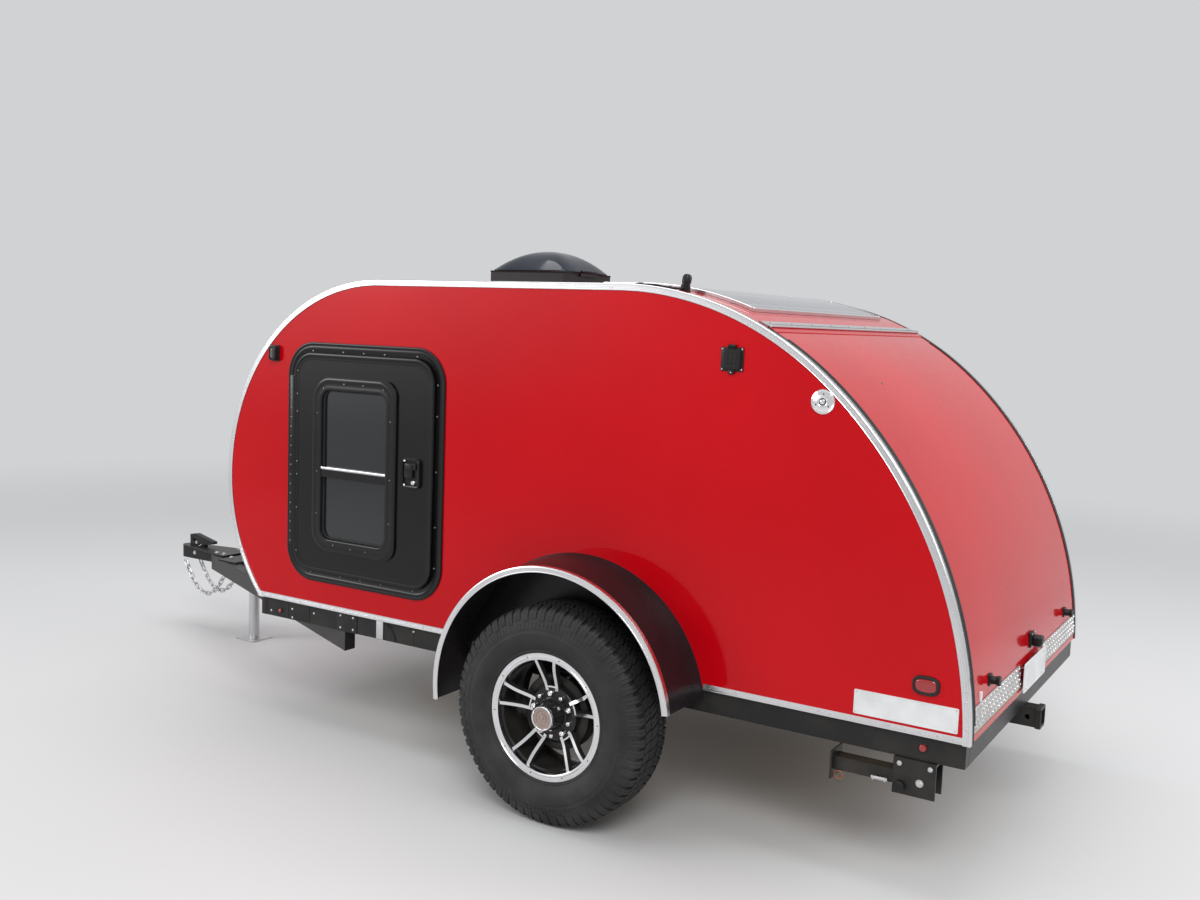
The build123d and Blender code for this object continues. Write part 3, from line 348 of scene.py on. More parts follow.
M = {
    "red": red_gloss(),
    "bright": bright_metal("bright_trim"),
    "chrome": bright_metal("chrome", 0.86, 0.07),
    "bar": bright_metal("window_bar", 0.62, 0.2),
    "dark_screw": bright_metal("dark_screw", 0.2, 0.3, 90.0),
    "bronze": bright_metal("bronze", 0.42, 0.24, 160.0, (1.0, 0.82, 0.72)),
    "frame": black_coat("black_frame"),
    "wheel_black": black_coat("wheel_black", 0.01, 0.16, 0.06, 200.0),
    "machined": bright_metal("machined", 0.8, 0.18, 240.0),
    "zinc": bright_metal("zinc", 0.62, 0.38, 90.0),
    "tyre": rubber("tyre_rubber"),
    "seal": rubber("seal_rubber", 0.01, 0.55, 0.06),
    "fender": plastic("fender_plastic", (0.013, 0.011, 0.013), 0.3, 260.0, 0.12),
    "door": plastic("door_paint", (0.005, 0.005, 0.0055), 0.2, 380.0, 0.05),
    "glass": smoked_glass(),
    "black": plastic("black_plastic", (0.009, 0.009, 0.01), 0.38),
    "gloss_black": plastic("gloss_black", (0.01, 0.01, 0.011), 0.12, 200.0, 0.04),
    "vent_lid": plastic("vent_smoke", (0.01, 0.014, 0.024), 0.1, 240.0, 0.03),
    "birch": birch(),
    "cloth": cloth(),
    "tread": tread_plate_metal(),
    "solar": solar_cells(),
    "marker": lens("marker_red", (0.32, 0.002, 0.004)),
    "clear": lens("clear_lens", (0.62, 0.63, 0.64)),
    "smoked": lens("smoked_lens", (0.03, 0.03, 0.032)),
    "pin_orange": plastic("pin_orange", (0.42, 0.12, 0.03), 0.4),
    "white": plastic("plate_white", (0.7, 0.71, 0.72), 0.32, 200.0, 0.05),
}

FINISH = {
    "red": "side_wall_left side_wall_right roof_shell rear_sill hatch_shell",
    "bright": "edge_trim_left edge_trim_right fender_edge_left fender_edge_right roof_hinge hatch_hinge",
    "frame": "side_rail_left side_rail_right crossmembers tongue_left tongue_right receiver axle "
             "coupler coupler_latch jack_tube stabiliser_bracket_left stabiliser_bracket_right "
             "stabiliser_left stabiliser_right",
    "zinc": "safety_chains jack_leg",
    "tyre": "tyre_left tyre_right",
    "wheel_black": "wheel_left wheel_right",
    "fender": "fender_left fender_right",
    "door": "door_left door_right door_frame_left door_frame_right",
    "glass": "pane_left pane_right",
    "black": "door_handle_left door_handle_right hatch_latches side_inlet porch_lights vent_base",
    "seal": "hatch_seal",
    "birch": "floor bulkhead galley",
    "cloth": "mattress",
    "vent_lid": "vent_lid",
    "solar": "solar_panel",
    "chrome": "side_lamp",
    "tread": "tread_plate",
    "marker": "markers",
    "white": "number_plate",
}
for key, names in FINISH.items():
    for name in names.split():
        data = nodes[name].data
        data.materials.clear()
        data.materials.append(M[key])


# A small rounding on the frame's welded box sections
for name in "side_rail_left side_rail_right tongue_left tongue_right crossmembers receiver".split():
    nodes[name].modifiers.new("joined", "WELD").merge_threshold = 0.00005
    rounding = nodes[name].modifiers.new("rounded", "BEVEL")
    rounding.width = 0.0022
    rounding.segments = 2
    rounding.limit_method = "ANGLE"
    rounding.angle_limit = radians(50)
    rounding.harden_normals = True


BACKDROP = (0.64, 0.645, 0.655, 1.0)
FLOOR_SIZE = 60.0
FADE_START, FADE_END = 3.2, 9.5
COOL, WARM = (0.97, 0.98, 1.0), (1.0, 0.985, 0.96)


def studio():
    """Pale floor that fades into a plain surround of the same tone, and soft boxes."""
    data = bpy.data.meshes.new("floor")
    corners = [(x * FLOOR_SIZE, y * FLOOR_SIZE, 0) for x, y in ((-1, -1), (1, -1), (1, 1), (-1, 1))]
    data.from_pydata(corners, [], [(0, 1, 2, 3)])
    floor = bpy.data.objects.new("floor_stage", data)
    scene.collection.objects.link(floor)
    t = Tree("floor_pale")
    base = t.mix(t.noise(0.8, 3.0), rgb(0.58, 0.582, 0.588), rgb(0.56, 0.562, 0.568))
    t.set(Base_Color=base, Roughness=0.8, Specular_IOR_Level=0.1)
    level = t.node("CombineXYZ", {"X": t.axis(0), "Y": t.axis(1)}).outputs[0]
    reach = t.node("VectorMath", {0: level}, operation="LENGTH").outputs["Value"]
    fade = t.node("MapRange", {"Value": reach, "From Min": FADE_START, "From Max": FADE_END},
                  interpolation_type="SMOOTHSTEP")
    glow = t.node("Emission", {"Color": BACKDROP, "Strength": 1.0})
    pick = t.node("MixShader", {0: fade.outputs["Result"], 1: t.bsdf.outputs[0], 2: glow.outputs[0]})
    put_value(t.tree, pick.outputs[0], t.tree.nodes["Material Output"].inputs["Surface"])
    data.materials.append(t.material)

    world = bpy.data.worlds.new("studio")
    scene.world = world
    world.use_nodes = True
    tree = world.node_tree

    light = tree.nodes["Background"]
    put_value(tree, rgb(0.56, 0.57, 0.58), light.inputs["Color"])
    seen = put_node(tree, "Background", {"Color": BACKDROP})
    path = put_node(tree, "LightPath")
    shown = path.outputs["Is Camera Ray"]
    for ray in ("Is Glossy Ray", "Is Transmission Ray"):
        shown = put_node(tree, "Math", {0: shown, 1: path.outputs[ray]}, operation="MAXIMUM").outputs[0]
    pick = put_node(tree, "MixShader", {0: shown, 1: light.outputs[0], 2: seen.outputs[0]})
    put_value(tree, pick.outputs[0], tree.nodes["World Output"].inputs["Surface"])

    area_light("key", (-4.5, 6.5, 6.5), (-0.3, 0, 0.8), (4.5, 3.5), 430.0, WARM)
    area_light("top", (0.0, 0.0, 6.5), (0.0, 0.0, 1.0), (6.0, 4.0), 210.0)
    area_light("fill", (5.5, 5.0, 3.5), (0.2, 0, 0.8), (3.8, 3.8), 250.0, COOL, 0.25)
    area_light("rear", (-6.5, -3.0, 4.0), (-0.8, 0, 0.9), (3.8, 3.8), 335.0, COOL, 0.25)
    area_light("side_glow", (6.5, 7.5, 2.6), (0.3, 0.76, 1.4), (13.0, 5.0), 60.0, fade=0.5, spread=70.0)


make_camera()
studio()
scene.view_settings.view_transform = "Standard"


class Form:
    """A mesh under construction, in metres in the shared frame."""

    def __init__(self):
        self.bm = bmesh.new()
        self.slot = 0

    def everything(self):
        return self.bm.verts[:] + self.bm.edges[:] + self.bm.faces[:]

    def face(self, verts, slot=None):
        made = self.bm.faces.new(verts)
        made.material_index = self.slot if slot is None else slot

    def sweep(self, rings, closed=False, tube=True, caps=True, bands=None):
        """Join rings of points into a skin; bands names a finish for each strip along it."""
        rows = [[self.bm.verts.new(point) for point in ring] for ring in rings]
        count = len(rows[0])
        steps = list(zip(rows, rows[1:]))
        if closed:
            steps.append((rows[-1], rows[0]))
        for a, b in steps:
            for i in range(count if tube else count - 1):
                j = (i + 1) % count
                self.face((a[i], a[j], b[j], b[i]), bands[i] if bands else None)
        if caps and tube and not closed:
            self.face(rows[0][::-1])
            self.face(rows[-1])

    def lathe(self, profile, base, axis, steps=24, tube=False):
        """Turn (radius, height) points about an axis."""
        along = Vector(axis).normalized()
        side = along.orthogonal().normalized()
        other = along.cross(side)
        rings = []
        for a in turn(steps):
            out = side * cos(a) + other * sin(a)
            rings.append([Vector(base) + along * h + out * r for r, h in profile])
        self.sweep(rings, closed=True, tube=tube)

    def prism(self, points, place, low, high):
        """A polygon drawn through between two levels; place(u, v, w) gives a point."""
        self.sweep([[place(u, v, w) for u, v in points] for w in (low, high)])

    def block(self, low, high, edge=0.0015, steps=2):
        """A block with rounded edges."""
        low, high = Vector(low), Vector(high)
        made = bmesh.ops.create_cube(self.bm, size=1.0)
        middle, size = (low + high) / 2, high - low
        edges, faces = set(), set()
        for vert in made["verts"]:
            vert.co = middle + Vector([c * s for c, s in zip(vert.co, size)])
            edges.update(vert.link_edges)
            faces.update(vert.link_faces)
        for each in faces:
            each.material_index = self.slot
        bmesh.ops.bevel(self.bm, geom=list(edges), offset=edge, segments=steps, profile=0.5,
                        affect="EDGES")

    def tube(self, points, radius, sides=10, closed=False):
        """A round bar along points."""
        points = [Vector(point) for point in points]
        count = len(points)
        rings = []
        side = None
        for i, point in enumerate(points):
            before = points[i - 1] if i or closed else point
            after = points[(i + 1) % count] if i < count - 1 or closed else point
            along = (after - before).normalized()
            side = along.orthogonal() if side is None else side - along * side.dot(along)
            side.normalize()
            other = along.cross(side)
            rings.append([point + (side * cos(a) + other * sin(a)) * radius for a in turn(sides)])
        self.sweep(rings, closed=closed)

    def screw(self, place, normal, radius=0.004, height=0.002):
        """A low round head with a small socket."""
        head = [(radius, -0.0005), (radius, 0.35 * height), (0.75 * radius, 0.9 * height),
                (0.4 * radius, height), (0.3 * radius, 0.45 * height), (0.0, 0.45 * height)]
        self.lathe(head, place, normal, 10)

    def hexagon(self, place, normal, radius=0.009, height=0.007):
        """A hexagon bolt head on a washer."""
        washer = [(1.35 * radius, -0.001), (1.35 * radius, 0.2 * height), (0.0, 0.2 * height)]
        self.lathe(washer, place, normal, 16)
        head = [(radius, 0.0), (radius, 0.85 * height), (0.85 * radius, height), (0.0, height)]
        self.lathe(head, place, normal, 6)

    def screws(self, places, y, radius, height):
        """Screws on a side's face, at (x, z) places."""
        for x, z in places:
            self.screw((x, y, z), OUT, radius, height)


def add(name, make, materials, body="trailer", stands=(), sharp=32.0, finish=None, mirrored=False):
    """Shape a piece and hang it on a body; mirrored, it is the other side's."""
    form = Form()
    make(form)
    bm = form.bm
    if mirrored:
        bmesh.ops.scale(bm, vec=(1, -1, 1), verts=bm.verts)
        bmesh.ops.reverse_faces(bm, faces=bm.faces)
    bmesh.ops.remove_doubles(bm, verts=bm.verts, dist=1e-6)
    bmesh.ops.dissolve_degenerate(bm, edges=bm.edges, dist=1e-6)
    bmesh.ops.recalc_face_normals(bm, faces=bm.faces)
    for edge in bm.edges:
        edge.smooth = len(edge.link_faces) == 2 and edge.calc_face_angle(0.0) < radians(sharp)
    for face in bm.faces:
        face.smooth = True
    mesh = bpy.data.meshes.new(name)
    bm.to_mesh(mesh)
    bm.free()
    for key in materials:
        mesh.materials.append(M[key])
    piece = bpy.data.objects.new(name, mesh)
    scene.collection.objects.link(piece)
    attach(piece, body)
    if stands:
        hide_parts(*stands)
    return piece


def both(name, make, materials, left="trailer", right="trailer", stands=(), **rest):
    """A piece on the left, and its mirror image on the right."""
    for side, body in (("left", left), ("right", right)):
        stood = [f"{node}_{side}" for node in stands]
        add(f"{name}_{side}", make, materials, body, stood, mirrored=side == "right", **rest)


def outline_path(low_z=SILL_Z, step=0.024, seam=False):
    """Points and outward normals round the body's side, from the front foot over the roof to the tail."""
    first = -degrees(asin((NOSE_Z - low_z) / LOW_RADIUS))
    last = 180.0 - degrees(asin((low_z - TAIL_CENTRE[1]) / TAIL_RADIUS))
    hinge, joint = 90.0 + HINGE_TURN, 90.0 + REAR_TURN
    tail = (TAIL_CENTRE, TAIL_RADIUS, joint, last)
    if seam:
        stretches = [(REAR_CENTRE, REAR_RADIUS, hinge, joint), tail]
    else:
        stretches = [(LOW_CENTRE, LOW_RADIUS, first, 0.0), (NOSE_CENTRE, NOSE_RADIUS, 0.0, 90.0),
                     (REAR_CENTRE, REAR_RADIUS, 90.0, joint), tail]
    path = []
    for centre, radius, start, end in stretches:
        count = ceil(radians(end - start) * radius / step)
        for k in range(count + 1):
            angle = start + (end - start) * k / count
            point = arc_point(centre, radius, angle)
            if not path or hypot(point[0] - path[-1][0], point[1] - path[-1][1]) > 1e-5:
                path.append((*point, cos(radians(angle)), sin(radians(angle))))
    return path


def round_rect(centre, width, height, corner, steps=8):
    """Points and outward normals round a round-cornered rectangle in the side view."""
    path = []
    for k, (sx, sz) in enumerate(((1, 1), (-1, 1), (-1, -1), (1, -1))):
        x, z = centre[0] + sx * (width / 2 - corner), centre[1] + sz * (height / 2 - corner)
        for i in range(steps + 1):
            a = radians(90 * (k + i / steps))
            path.append((x + corner * cos(a), z + corner * sin(a), cos(a), sin(a)))
    return path


def rounded_turn(power, steps):
    """Points of a unit circle pushed out toward a square."""
    points = []
    for a in turn(steps):
        grow = (abs(cos(a)) ** power + abs(sin(a)) ** power) ** (-1.0 / power)
        points.append((grow * cos(a), grow * sin(a)))
    return points


def follow(path, profile):
    """Rings of an (outward, across) profile carried along a path."""
    return [[(x + nx * out, y, z + nz * out) for out, y in profile] for x, z, nx, nz in path]


def follow_tail(path, profile):
    """The same for a path in the rear view, with an (outward, along) profile."""
    return [[(x, y + ny * out, z + nz * out) for out, x in profile] for y, z, ny, nz in path]


def shrunk(path, inset):
    """The points of a path, moved inward."""
    return [(u - nu * inset, v - nv * inset) for u, v, nu, nv in path]


def mm(*points):
    """Points written in millimetres, given in metres."""
    return [tuple(c / 1000 for c in point) for point in points]


def crossings(us, vs):
    return [(u, v) for u in us for v in vs]


def side_plane(u, v, w):
    return (u, w, v)


def rear_plane(u, v, w):
    return (w, u, v)


# Bright angle round each side, with its grooves, and the strip along the foot
TRIM = mm(
    (-20, 762), (-20, 764.8), (-19, 765.2), (-18, 764.5), (-14, 764.5), (-13.5, 764), (-13, 764.5),
    (-9, 764.5), (-8.5, 764), (-8, 764.5), (-4.5, 764.5), (-3.6, 765.2), (-2, 765.2), (-0.4, 764.8),
    (1.2, 763.8), (2.2, 762.2), (2.5, 760), (2.5, 743), (2, 742.1), (-0.6, 742.1), (-0.6, 761))
FENDER_CENTRE, FENDER_RADIUS, FENDER_FLANGE = (-0.788, 0.389), 0.456, 0.4685
FENDER_FACE = 0.9735


def make_trim(form):
    form.sweep(follow(outline_path(SILL_Z - 0.02), TRIM))
    bm = form.bm
    cut = bmesh.ops.bisect_plane(bm, geom=form.everything(), plane_co=(0, 0, SILL_Z - 0.0025),
                                 plane_no=UP, clear_inner=True)
    rim = [e for e in cut["geom_cut"] if isinstance(e, bmesh.types.BMEdge)]
    bmesh.ops.holes_fill(bm, edges=rim, sides=0)
    strip = [(out, min(y, 0.7648) - 0.0006) for out, y in TRIM[:16]] + [(0.0025, 0.76), (-0.0006, 0.76)]
    for start, end in ((0.758, -0.3265), (-1.2495, -2.076)):
        count = 8
        path = [(start + (end - start) * k / count, SILL_Z, 0.0, -1.0) for k in range(count + 1)]
        form.sweep(follow(path, strip))
    form.slot = 1
    foot = (0.732, 0.52, 0.28, 0.128, -0.106, -1.366, -1.635, -1.673, -1.849, -1.899, -1.94, -1.992, -2.037)
    form.screws(crossings(foot, [0.4965]), 0.7638, 0.0032, 0.0016)
    tail = mm((-859, 1738.5), (-2062, 665), (-2064, 638), (-2066, 606), (-2068, 565), (-2070, 530))
    form.screws(tail, 0.7643, 0.0028, 0.0012)


both("side_trim", make_trim, ["bright", "zinc"], stands=["edge_trim"], finish="bright_trim")


def make_roof_bead(form):
    """Black sealant between the trim's top and the skin, ahead of the hatch."""
    path = [p for p in outline_path(0.52) if p[0] > -1.395]
    form.sweep(follow(path, mm((-0.4, 742.5), (1, 742.2), (1.6, 740), (0.8, 737.5), (-0.4, 737.2))))


both("roof_bead", make_roof_bead, ["seal"], finish="seal_rubber")


def make_seal(form):
    path = [p for p in outline_path(seam=True) if p[1] > SILL_Z - 0.001]
    profile = mm(
        (-4, 726.6), (0.8, 726.6), (2.6, 728), (3.1, 730.5), (2.4, 733.5), (3.1, 736.5), (2.8, 740.2),
        (0.8, 741.8), (-4, 741.8))
    for side in (1, -1):
        form.sweep(follow(path, [(out, side * y) for out, y in profile]))


def make_hatch_edging(form):
    """Black edging along the hatch's two sides."""
    path = [p for p in outline_path(seam=True) if 0.5096 < p[1] < 1.6]
    profile = mm((0.3, 725.4), (2.4, 725.2), (3.2, 723.6), (3.2, 714.2), (2.4, 712.4), (0.3, 712.2))
    for side in (1, -1):
        form.sweep(follow(path, [(out, side * y) for out, y in profile]))


add("hatch_side_seal", make_seal, ["seal"], stands=["hatch_seal"], finish="seal_rubber")
add("hatch_edging", make_hatch_edging, ["seal"], "hatch", finish="seal_rubber")


# Doors
DOOR, FLANGE_SIZE, LEAF_SIZE = (0.203, 1.0505), (0.776, 0.921), (0.694, 0.839)
PANE, PANE_SIZE = (0.235, 1.05), (0.324, 0.571)


def make_door_flange(form):
    """The fixed flange with its raised bead, and its screws."""
    profile = mm(
        (0, 761.8), (0.4, 765.5), (-1.2, 767.8), (-4, 768.8), (-7.5, 768.2), (-10, 767.4), (-16.5, 767.3),
        (-18.5, 768.4), (-20.5, 769.2), (-22.5, 768.4), (-25, 767.3), (-49, 767.3), (-49.5, 762.5))
    form.sweep(follow(round_rect(DOOR, *FLANGE_SIZE, 0.13, 14), profile), closed=True)
    form.slot = 1
    places = shrunk(round_rect(DOOR, *[size - 0.066 for size in FLANGE_SIZE], 0.097, 1), 0.0)
    places += crossings([-0.152], (0.87, 1.07, 1.27)) + crossings((0.1, 0.203, 0.306), (0.623, 1.478))
    form.screws(places, 0.7673, 0.0038, 0.0022)


HINGE_FOOT, KNUCKLE, KNUCKLES = 0.7205, 0.03, 22


def knuckles(form, first):
    """Every second knuckle of the door's long hinge."""
    barrel = mm((0, 0), (4.6, 0), (5.2, 0.6), (5.2, 28.8), (4.6, 29.4), (0, 29.4))
    for k in range(first, KNUCKLES, 2):
        form.lathe(barrel, (0.55, 0.775, HINGE_FOOT + KNUCKLE * k), UP, 14)


def make_hinge_strip(form):
    """The fixed leaf of the long hinge, with its screws and knuckles."""
    form.block((0.5546, 0.7675, HINGE_FOOT), (0.5752, 0.776, HINGE_FOOT + KNUCKLE * KNUCKLES), 0.0012)
    knuckles(form, 0)
    form.slot = 1
    form.screws([(0.5665, 0.735 + 0.0372 * k) for k in range(18)], 0.776, 0.0034, 0.0018)


def make_door_leaf(form):
    """Rounded lip, window ring, glazing rubber, meeting bar, screws and the moving knuckles."""
    lip = mm(
        (0, 773.2), (0.6, 775.5), (-0.6, 778), (-4, 779.3), (-8.5, 779.3), (-12, 778.2), (-19, 777.6),
        (-23.5, 778), (-25.5, 777.6), (-26, 775), (-10, 773.5))
    form.sweep(follow(round_rect(DOOR, *LEAF_SIZE, 0.089, 14), lip), closed=True)
    ring = mm(
        (48, 776.5), (48.4, 780), (47, 783.5), (43, 785.6), (37, 786.2), (30, 785.6), (24, 785.2),
        (13, 785.2), (8, 786.2), (4, 786), (1, 784.5), (-0.6, 781.5), (-0.6, 770), (4, 769))
    form.slot = 4
    opening = round_rect(PANE, *PANE_SIZE, 0.04, 10)
    form.sweep(follow(opening, ring), closed=True)
    form.slot = 0
    knuckles(form, 1)
    form.slot = 1
    rubber = mm((0.4, 770), (-0.6, 774.5), (-3.5, 775.5), (-6.5, 773.5), (-7, 769.5), (-3, 769))
    form.sweep(follow(opening, rubber), closed=True)
    rail = mm((1003, 769.5), (1003, 782.2), (1004, 783.2), (1032, 783.6), (1032, 769.5))
    ridge = mm(
        (1032.1, 770), (1032.1, 784), (1033, 785), (1035, 785.4), (1036.2, 784.6), (1037, 783.8),
        (1039, 785), (1041, 784.6), (1041.5, 770))
    for slot, bar in ((4, rail), (2, ridge)):
        form.slot = slot
        form.sweep([[(x, y, z) for z, y in bar] for x in (0.0735, 0.3965)])
    form.slot = 3
    round_pane = mm(
        (283, 1360), (187, 1360), (387, 1340), (88, 1350), (52, 1236), (52, 1022), (52, 860), (418, 1246),
        (418, 1022), (418, 860), (240, 740), (165, 740), (330, 745))
    form.screws(round_pane, 0.785, 0.003, 0.0018)
    form.screws(crossings([0.53], (0.7, 0.87, 1.0, 1.05, 1.243, 1.311, 1.4)), 0.779, 0.0032, 0.0018)


HANDLE = (-0.049, 1.0585)


def make_handle(form):
    """Door handle: a rounded bezel, a dished well, a flush paddle and a key lock."""
    x, z = HANDLE
    base = mm(
        (0, 776.5), (0.4, 782), (-1, 788), (-4.5, 790.5), (-8, 789.5), (-10, 786), (-10.5, 780),
        (-6, 776.5))
    path = round_rect(HANDLE, 0.086, 0.107, 0.014, 6)
    form.sweep(follow(path, base), closed=True)
    form.prism(shrunk(path, 0.009), side_plane, 0.777, 0.7812)
    form.block((x - 0.012, 0.78, z - 0.018), (x + 0.026, 0.7925, z + 0.036), 0.004, 3)
    form.block((x - 0.026, 0.78, z + 0.012), (x + 0.002, 0.789, z + 0.036), 0.003, 3)
    form.slot = 1
    form.lathe(mm((8.5, 0), (8.5, 7.5), (7, 9), (3.5, 9), (3, 7.5), (0, 7.5)),
               (x - 0.012, 0.78, z - 0.034), OUT, 18)
    form.screws(crossings([x + 0.026], (z + 0.044, z - 0.044)), 0.789, 0.0042, 0.0024)


both("door_flange", make_door_flange, ["door", "dark_screw"], finish="door_black")
both("hinge_strip", make_hinge_strip, ["door", "dark_screw"], finish="door_black")
both("door_dress", make_door_leaf, ["door", "seal", "bar", "dark_screw", "gloss_black"],
     "left_door", "right_door", finish="door_black")
both("paddle_handle", make_handle, ["gloss_black", "chrome"], "left_door", "right_door",
     stands=["door_handle"], finish="black_plastic")


# Fenders: the flared arch with its liner, and the bright angle over the outer edge
def fender_path(first=-8.0, last=172.0, steps=72):
    path = []
    for k in range(steps + 1):
        a = first + (last - first) * k / steps
        path.append((*arc_point(FENDER_CENTRE, FENDER_RADIUS, a), cos(radians(a)), sin(radians(a))))
    return path


def make_fender(form):
    skin = []
    for k in range(15):
        out = (k / 14) ** 1.6
        skin.append((0.014 * (1.0 - out) ** 5.5, 0.7622 + (FENDER_FACE - 0.7622) * out))
    skin += [(-0.0004, 0.975), (-0.0016, 0.9758)]
    inner = mm((-19.5, 975.8), (-19.5, 973.2), (-3.2, 973))
    inner += [(grown - 0.003, y) for grown, y in skin[13::-1]]
    form.sweep(follow(fender_path(), skin + inner))
    edge = [arc_point(FENDER_CENTRE, FENDER_FLANGE, a) for a in range(12, 169, 3)]
    level = sqrt(FENDER_FLANGE ** 2 - (SILL_Z - FENDER_CENTRE[1]) ** 2)
    edge = [(FENDER_CENTRE[0] + level, SILL_Z)] + edge + [(FENDER_CENTRE[0] - level, SILL_Z)]
    form.prism(edge, side_plane, 0.7622, 0.7648)


def make_fender_edge(form):
    profile = mm(
        (-19, 975.8), (-19.2, 977.5), (-17.5, 978.2), (-15.5, 977.8), (-15, 977.3), (-14.5, 977.8),
        (-10, 978), (-4, 978), (-1, 977.6), (1, 976.4), (1.8, 974.5), (1.9, 960), (1.2, 959), (0.1, 959),
        (0.1, 975.8))
    form.sweep(follow(fender_path(), profile))


both("fender_arch", make_fender, ["fender"], stands=["fender"], sharp=50.0, finish="black_fender")
both("fender_angle", make_fender_edge, ["bright"], stands=["fender_edge"], finish="bright_trim")


# Tyres
WHEEL = Vector((-0.8, 0.898, 0.3595))
PITCHES = 64
SHOULDER = mm(
    (57, 358.4), (68, 357.1), (77, 354.5), (84, 350), (88.2, 344), (92, 335), (96.2, 323.5), (98.5, 316.5))


def wheel_point(across, radius, angle):
    """Point round the left wheel; the angle is in turns."""
    a = 2 * pi * angle
    return WHEEL + Vector((radius * cos(a), across, radius * sin(a)))


def tread_block(form, section, start, end, depths, skew=0.0):
    """One block of the tread: a section of (across, radius), between two angles in turns."""
    rings = []
    first, last = section[0][0], section[-1][0]
    for i, (across, radius) in enumerate(section):
        lean = skew * (across - first) / (last - first)
        a, b = start + lean, end + lean
        nick = 0.0009 / (2 * pi * radius)
        drop = 0.0012 if i in (0, len(section) - 1) else 0.0
        base = radius - depths[i]
        top = radius - drop
        corners = ((base, a), (top - 0.001, a), (top, a + nick), (top, b - nick), (top - 0.001, b), (base, b))
        rings.append([wheel_point(across, *corner) for corner in corners])
    form.sweep(rings)


def make_tyre(form):
    half = mm(
        (78, 190.8), (79.5, 200), (79.2, 207.8), (87, 210.5), (90.5, 214), (91.2, 216.8), (90.5, 219.2),
        (93, 223.5), (97.5, 230), (103, 240), (106.5, 250), (108.3, 260), (108.8, 268), (108.6, 273.5),
        (109, 274.2), (109, 275.8), (108.4, 276.6), (107.4, 283), (105.6, 290.5), (105.8, 291.5),
        (105.4, 292.8), (104.6, 293.4), (101, 303), (97.5, 312.5), (93.5, 322.5), (89.5, 333), (86, 341),
        (80, 346.5), (70, 349), (40, 350.3), (0, 350.8))
    inner = mm((50, 333), (76, 330), (90, 300), (97, 264), (84, 220), (62, 190.8))
    outside = half + [(-across, radius) for across, radius in half[-2::-1]]
    inside = [(-across, radius) for across, radius in inner[::-1]] + inner
    form.lathe([(radius, across) for across, radius in outside + inside], WHEEL, OUT, 128, tube=True)
    deep = [0.0085, 0.0085, 0.0085, 0.008, 0.0075, 0.006, 0.004, 0.003]
    step = 1.0 / PITCHES
    for k in range(PITCHES):
        place = k * step
        reach = 8 if k % 2 else 7
        for share in (0.02, 0.365):
            begin = place + share * step
            for hand in (1, -1):
                section = [(hand * across, radius) for across, radius in SHOULDER[:reach]]
                tread_block(form, section, begin, begin + 0.325 * step, deep, 0.06 * step)
        for share in (0.0, 0.42):
            for hand in (1, -1):
                section = [(hand * 0.025, 0.3592), (hand * 0.039, 0.359), (hand * 0.052, 0.3586)]
                begin = place + (share + 0.45) * step
                tread_block(form, section, begin, begin + 0.385 * step, deep, 0.34 * step)
        for share in (0.0, 0.43):
            section = mm((-20.5, 359.3), (-6, 359.5), (6, 359.5), (20.5, 359.3))
            begin = place + (share + 0.15) * step
            tread_block(form, section, begin, begin + 0.395 * step, deep, 0.5 * step)
    for k in range(2 * PITCHES):
        start = (k + 0.15) / (2 * PITCHES)
        end = start + 0.55 / (2 * PITCHES)
        for hand in (1, -1):
            rings = []
            for across, radius in mm((104, 295.5), (101.2, 303.5), (99, 309.5)):
                low, high = hand * (across - 0.001), hand * (across + 0.0009)
                rings.append([wheel_point(low, radius, start), wheel_point(high, radius, start + 0.0002),
                              wheel_point(high, radius, end - 0.0002), wheel_point(low, radius, end)])
            form.sweep(rings)


both("tyre_tread", make_tyre, ["tyre"], "left_wheel", "right_wheel",
     stands=["tyre"], sharp=28.0, finish="tyre")


# Wheels
PAIR_START = 22.0
SPOKE = mm(
    (76, 17.8, 39.5), (90, 19.9, 41.5), (108, 21.6, 47.5), (126, 23.8, 55.5), (144, 26.6, 63.5),
    (162, 30.4, 70.2), (178, 34.6, 75.2), (192.5, 38.8, 78.8))
SPOKE_SECTION = mm((-5.5, 0), (5.5, 0), (6.2, -1), (9, -17), (-9, -17), (-6.2, -1))
WEB_SECTION = mm((87.5, 41.8), (92.5, 41.8), (94, 40.5), (94.5, 24), (86, 24), (86.2, 40.5))


def wheel_place(radial, tangent, out, angle):
    """Point of the wheel's face, from the rearward horizontal."""
    a = radians(angle)
    x = -(radial * cos(a) - tangent * sin(a))
    z = radial * sin(a) + tangent * cos(a)
    return WHEEL + Vector((x, out, z))


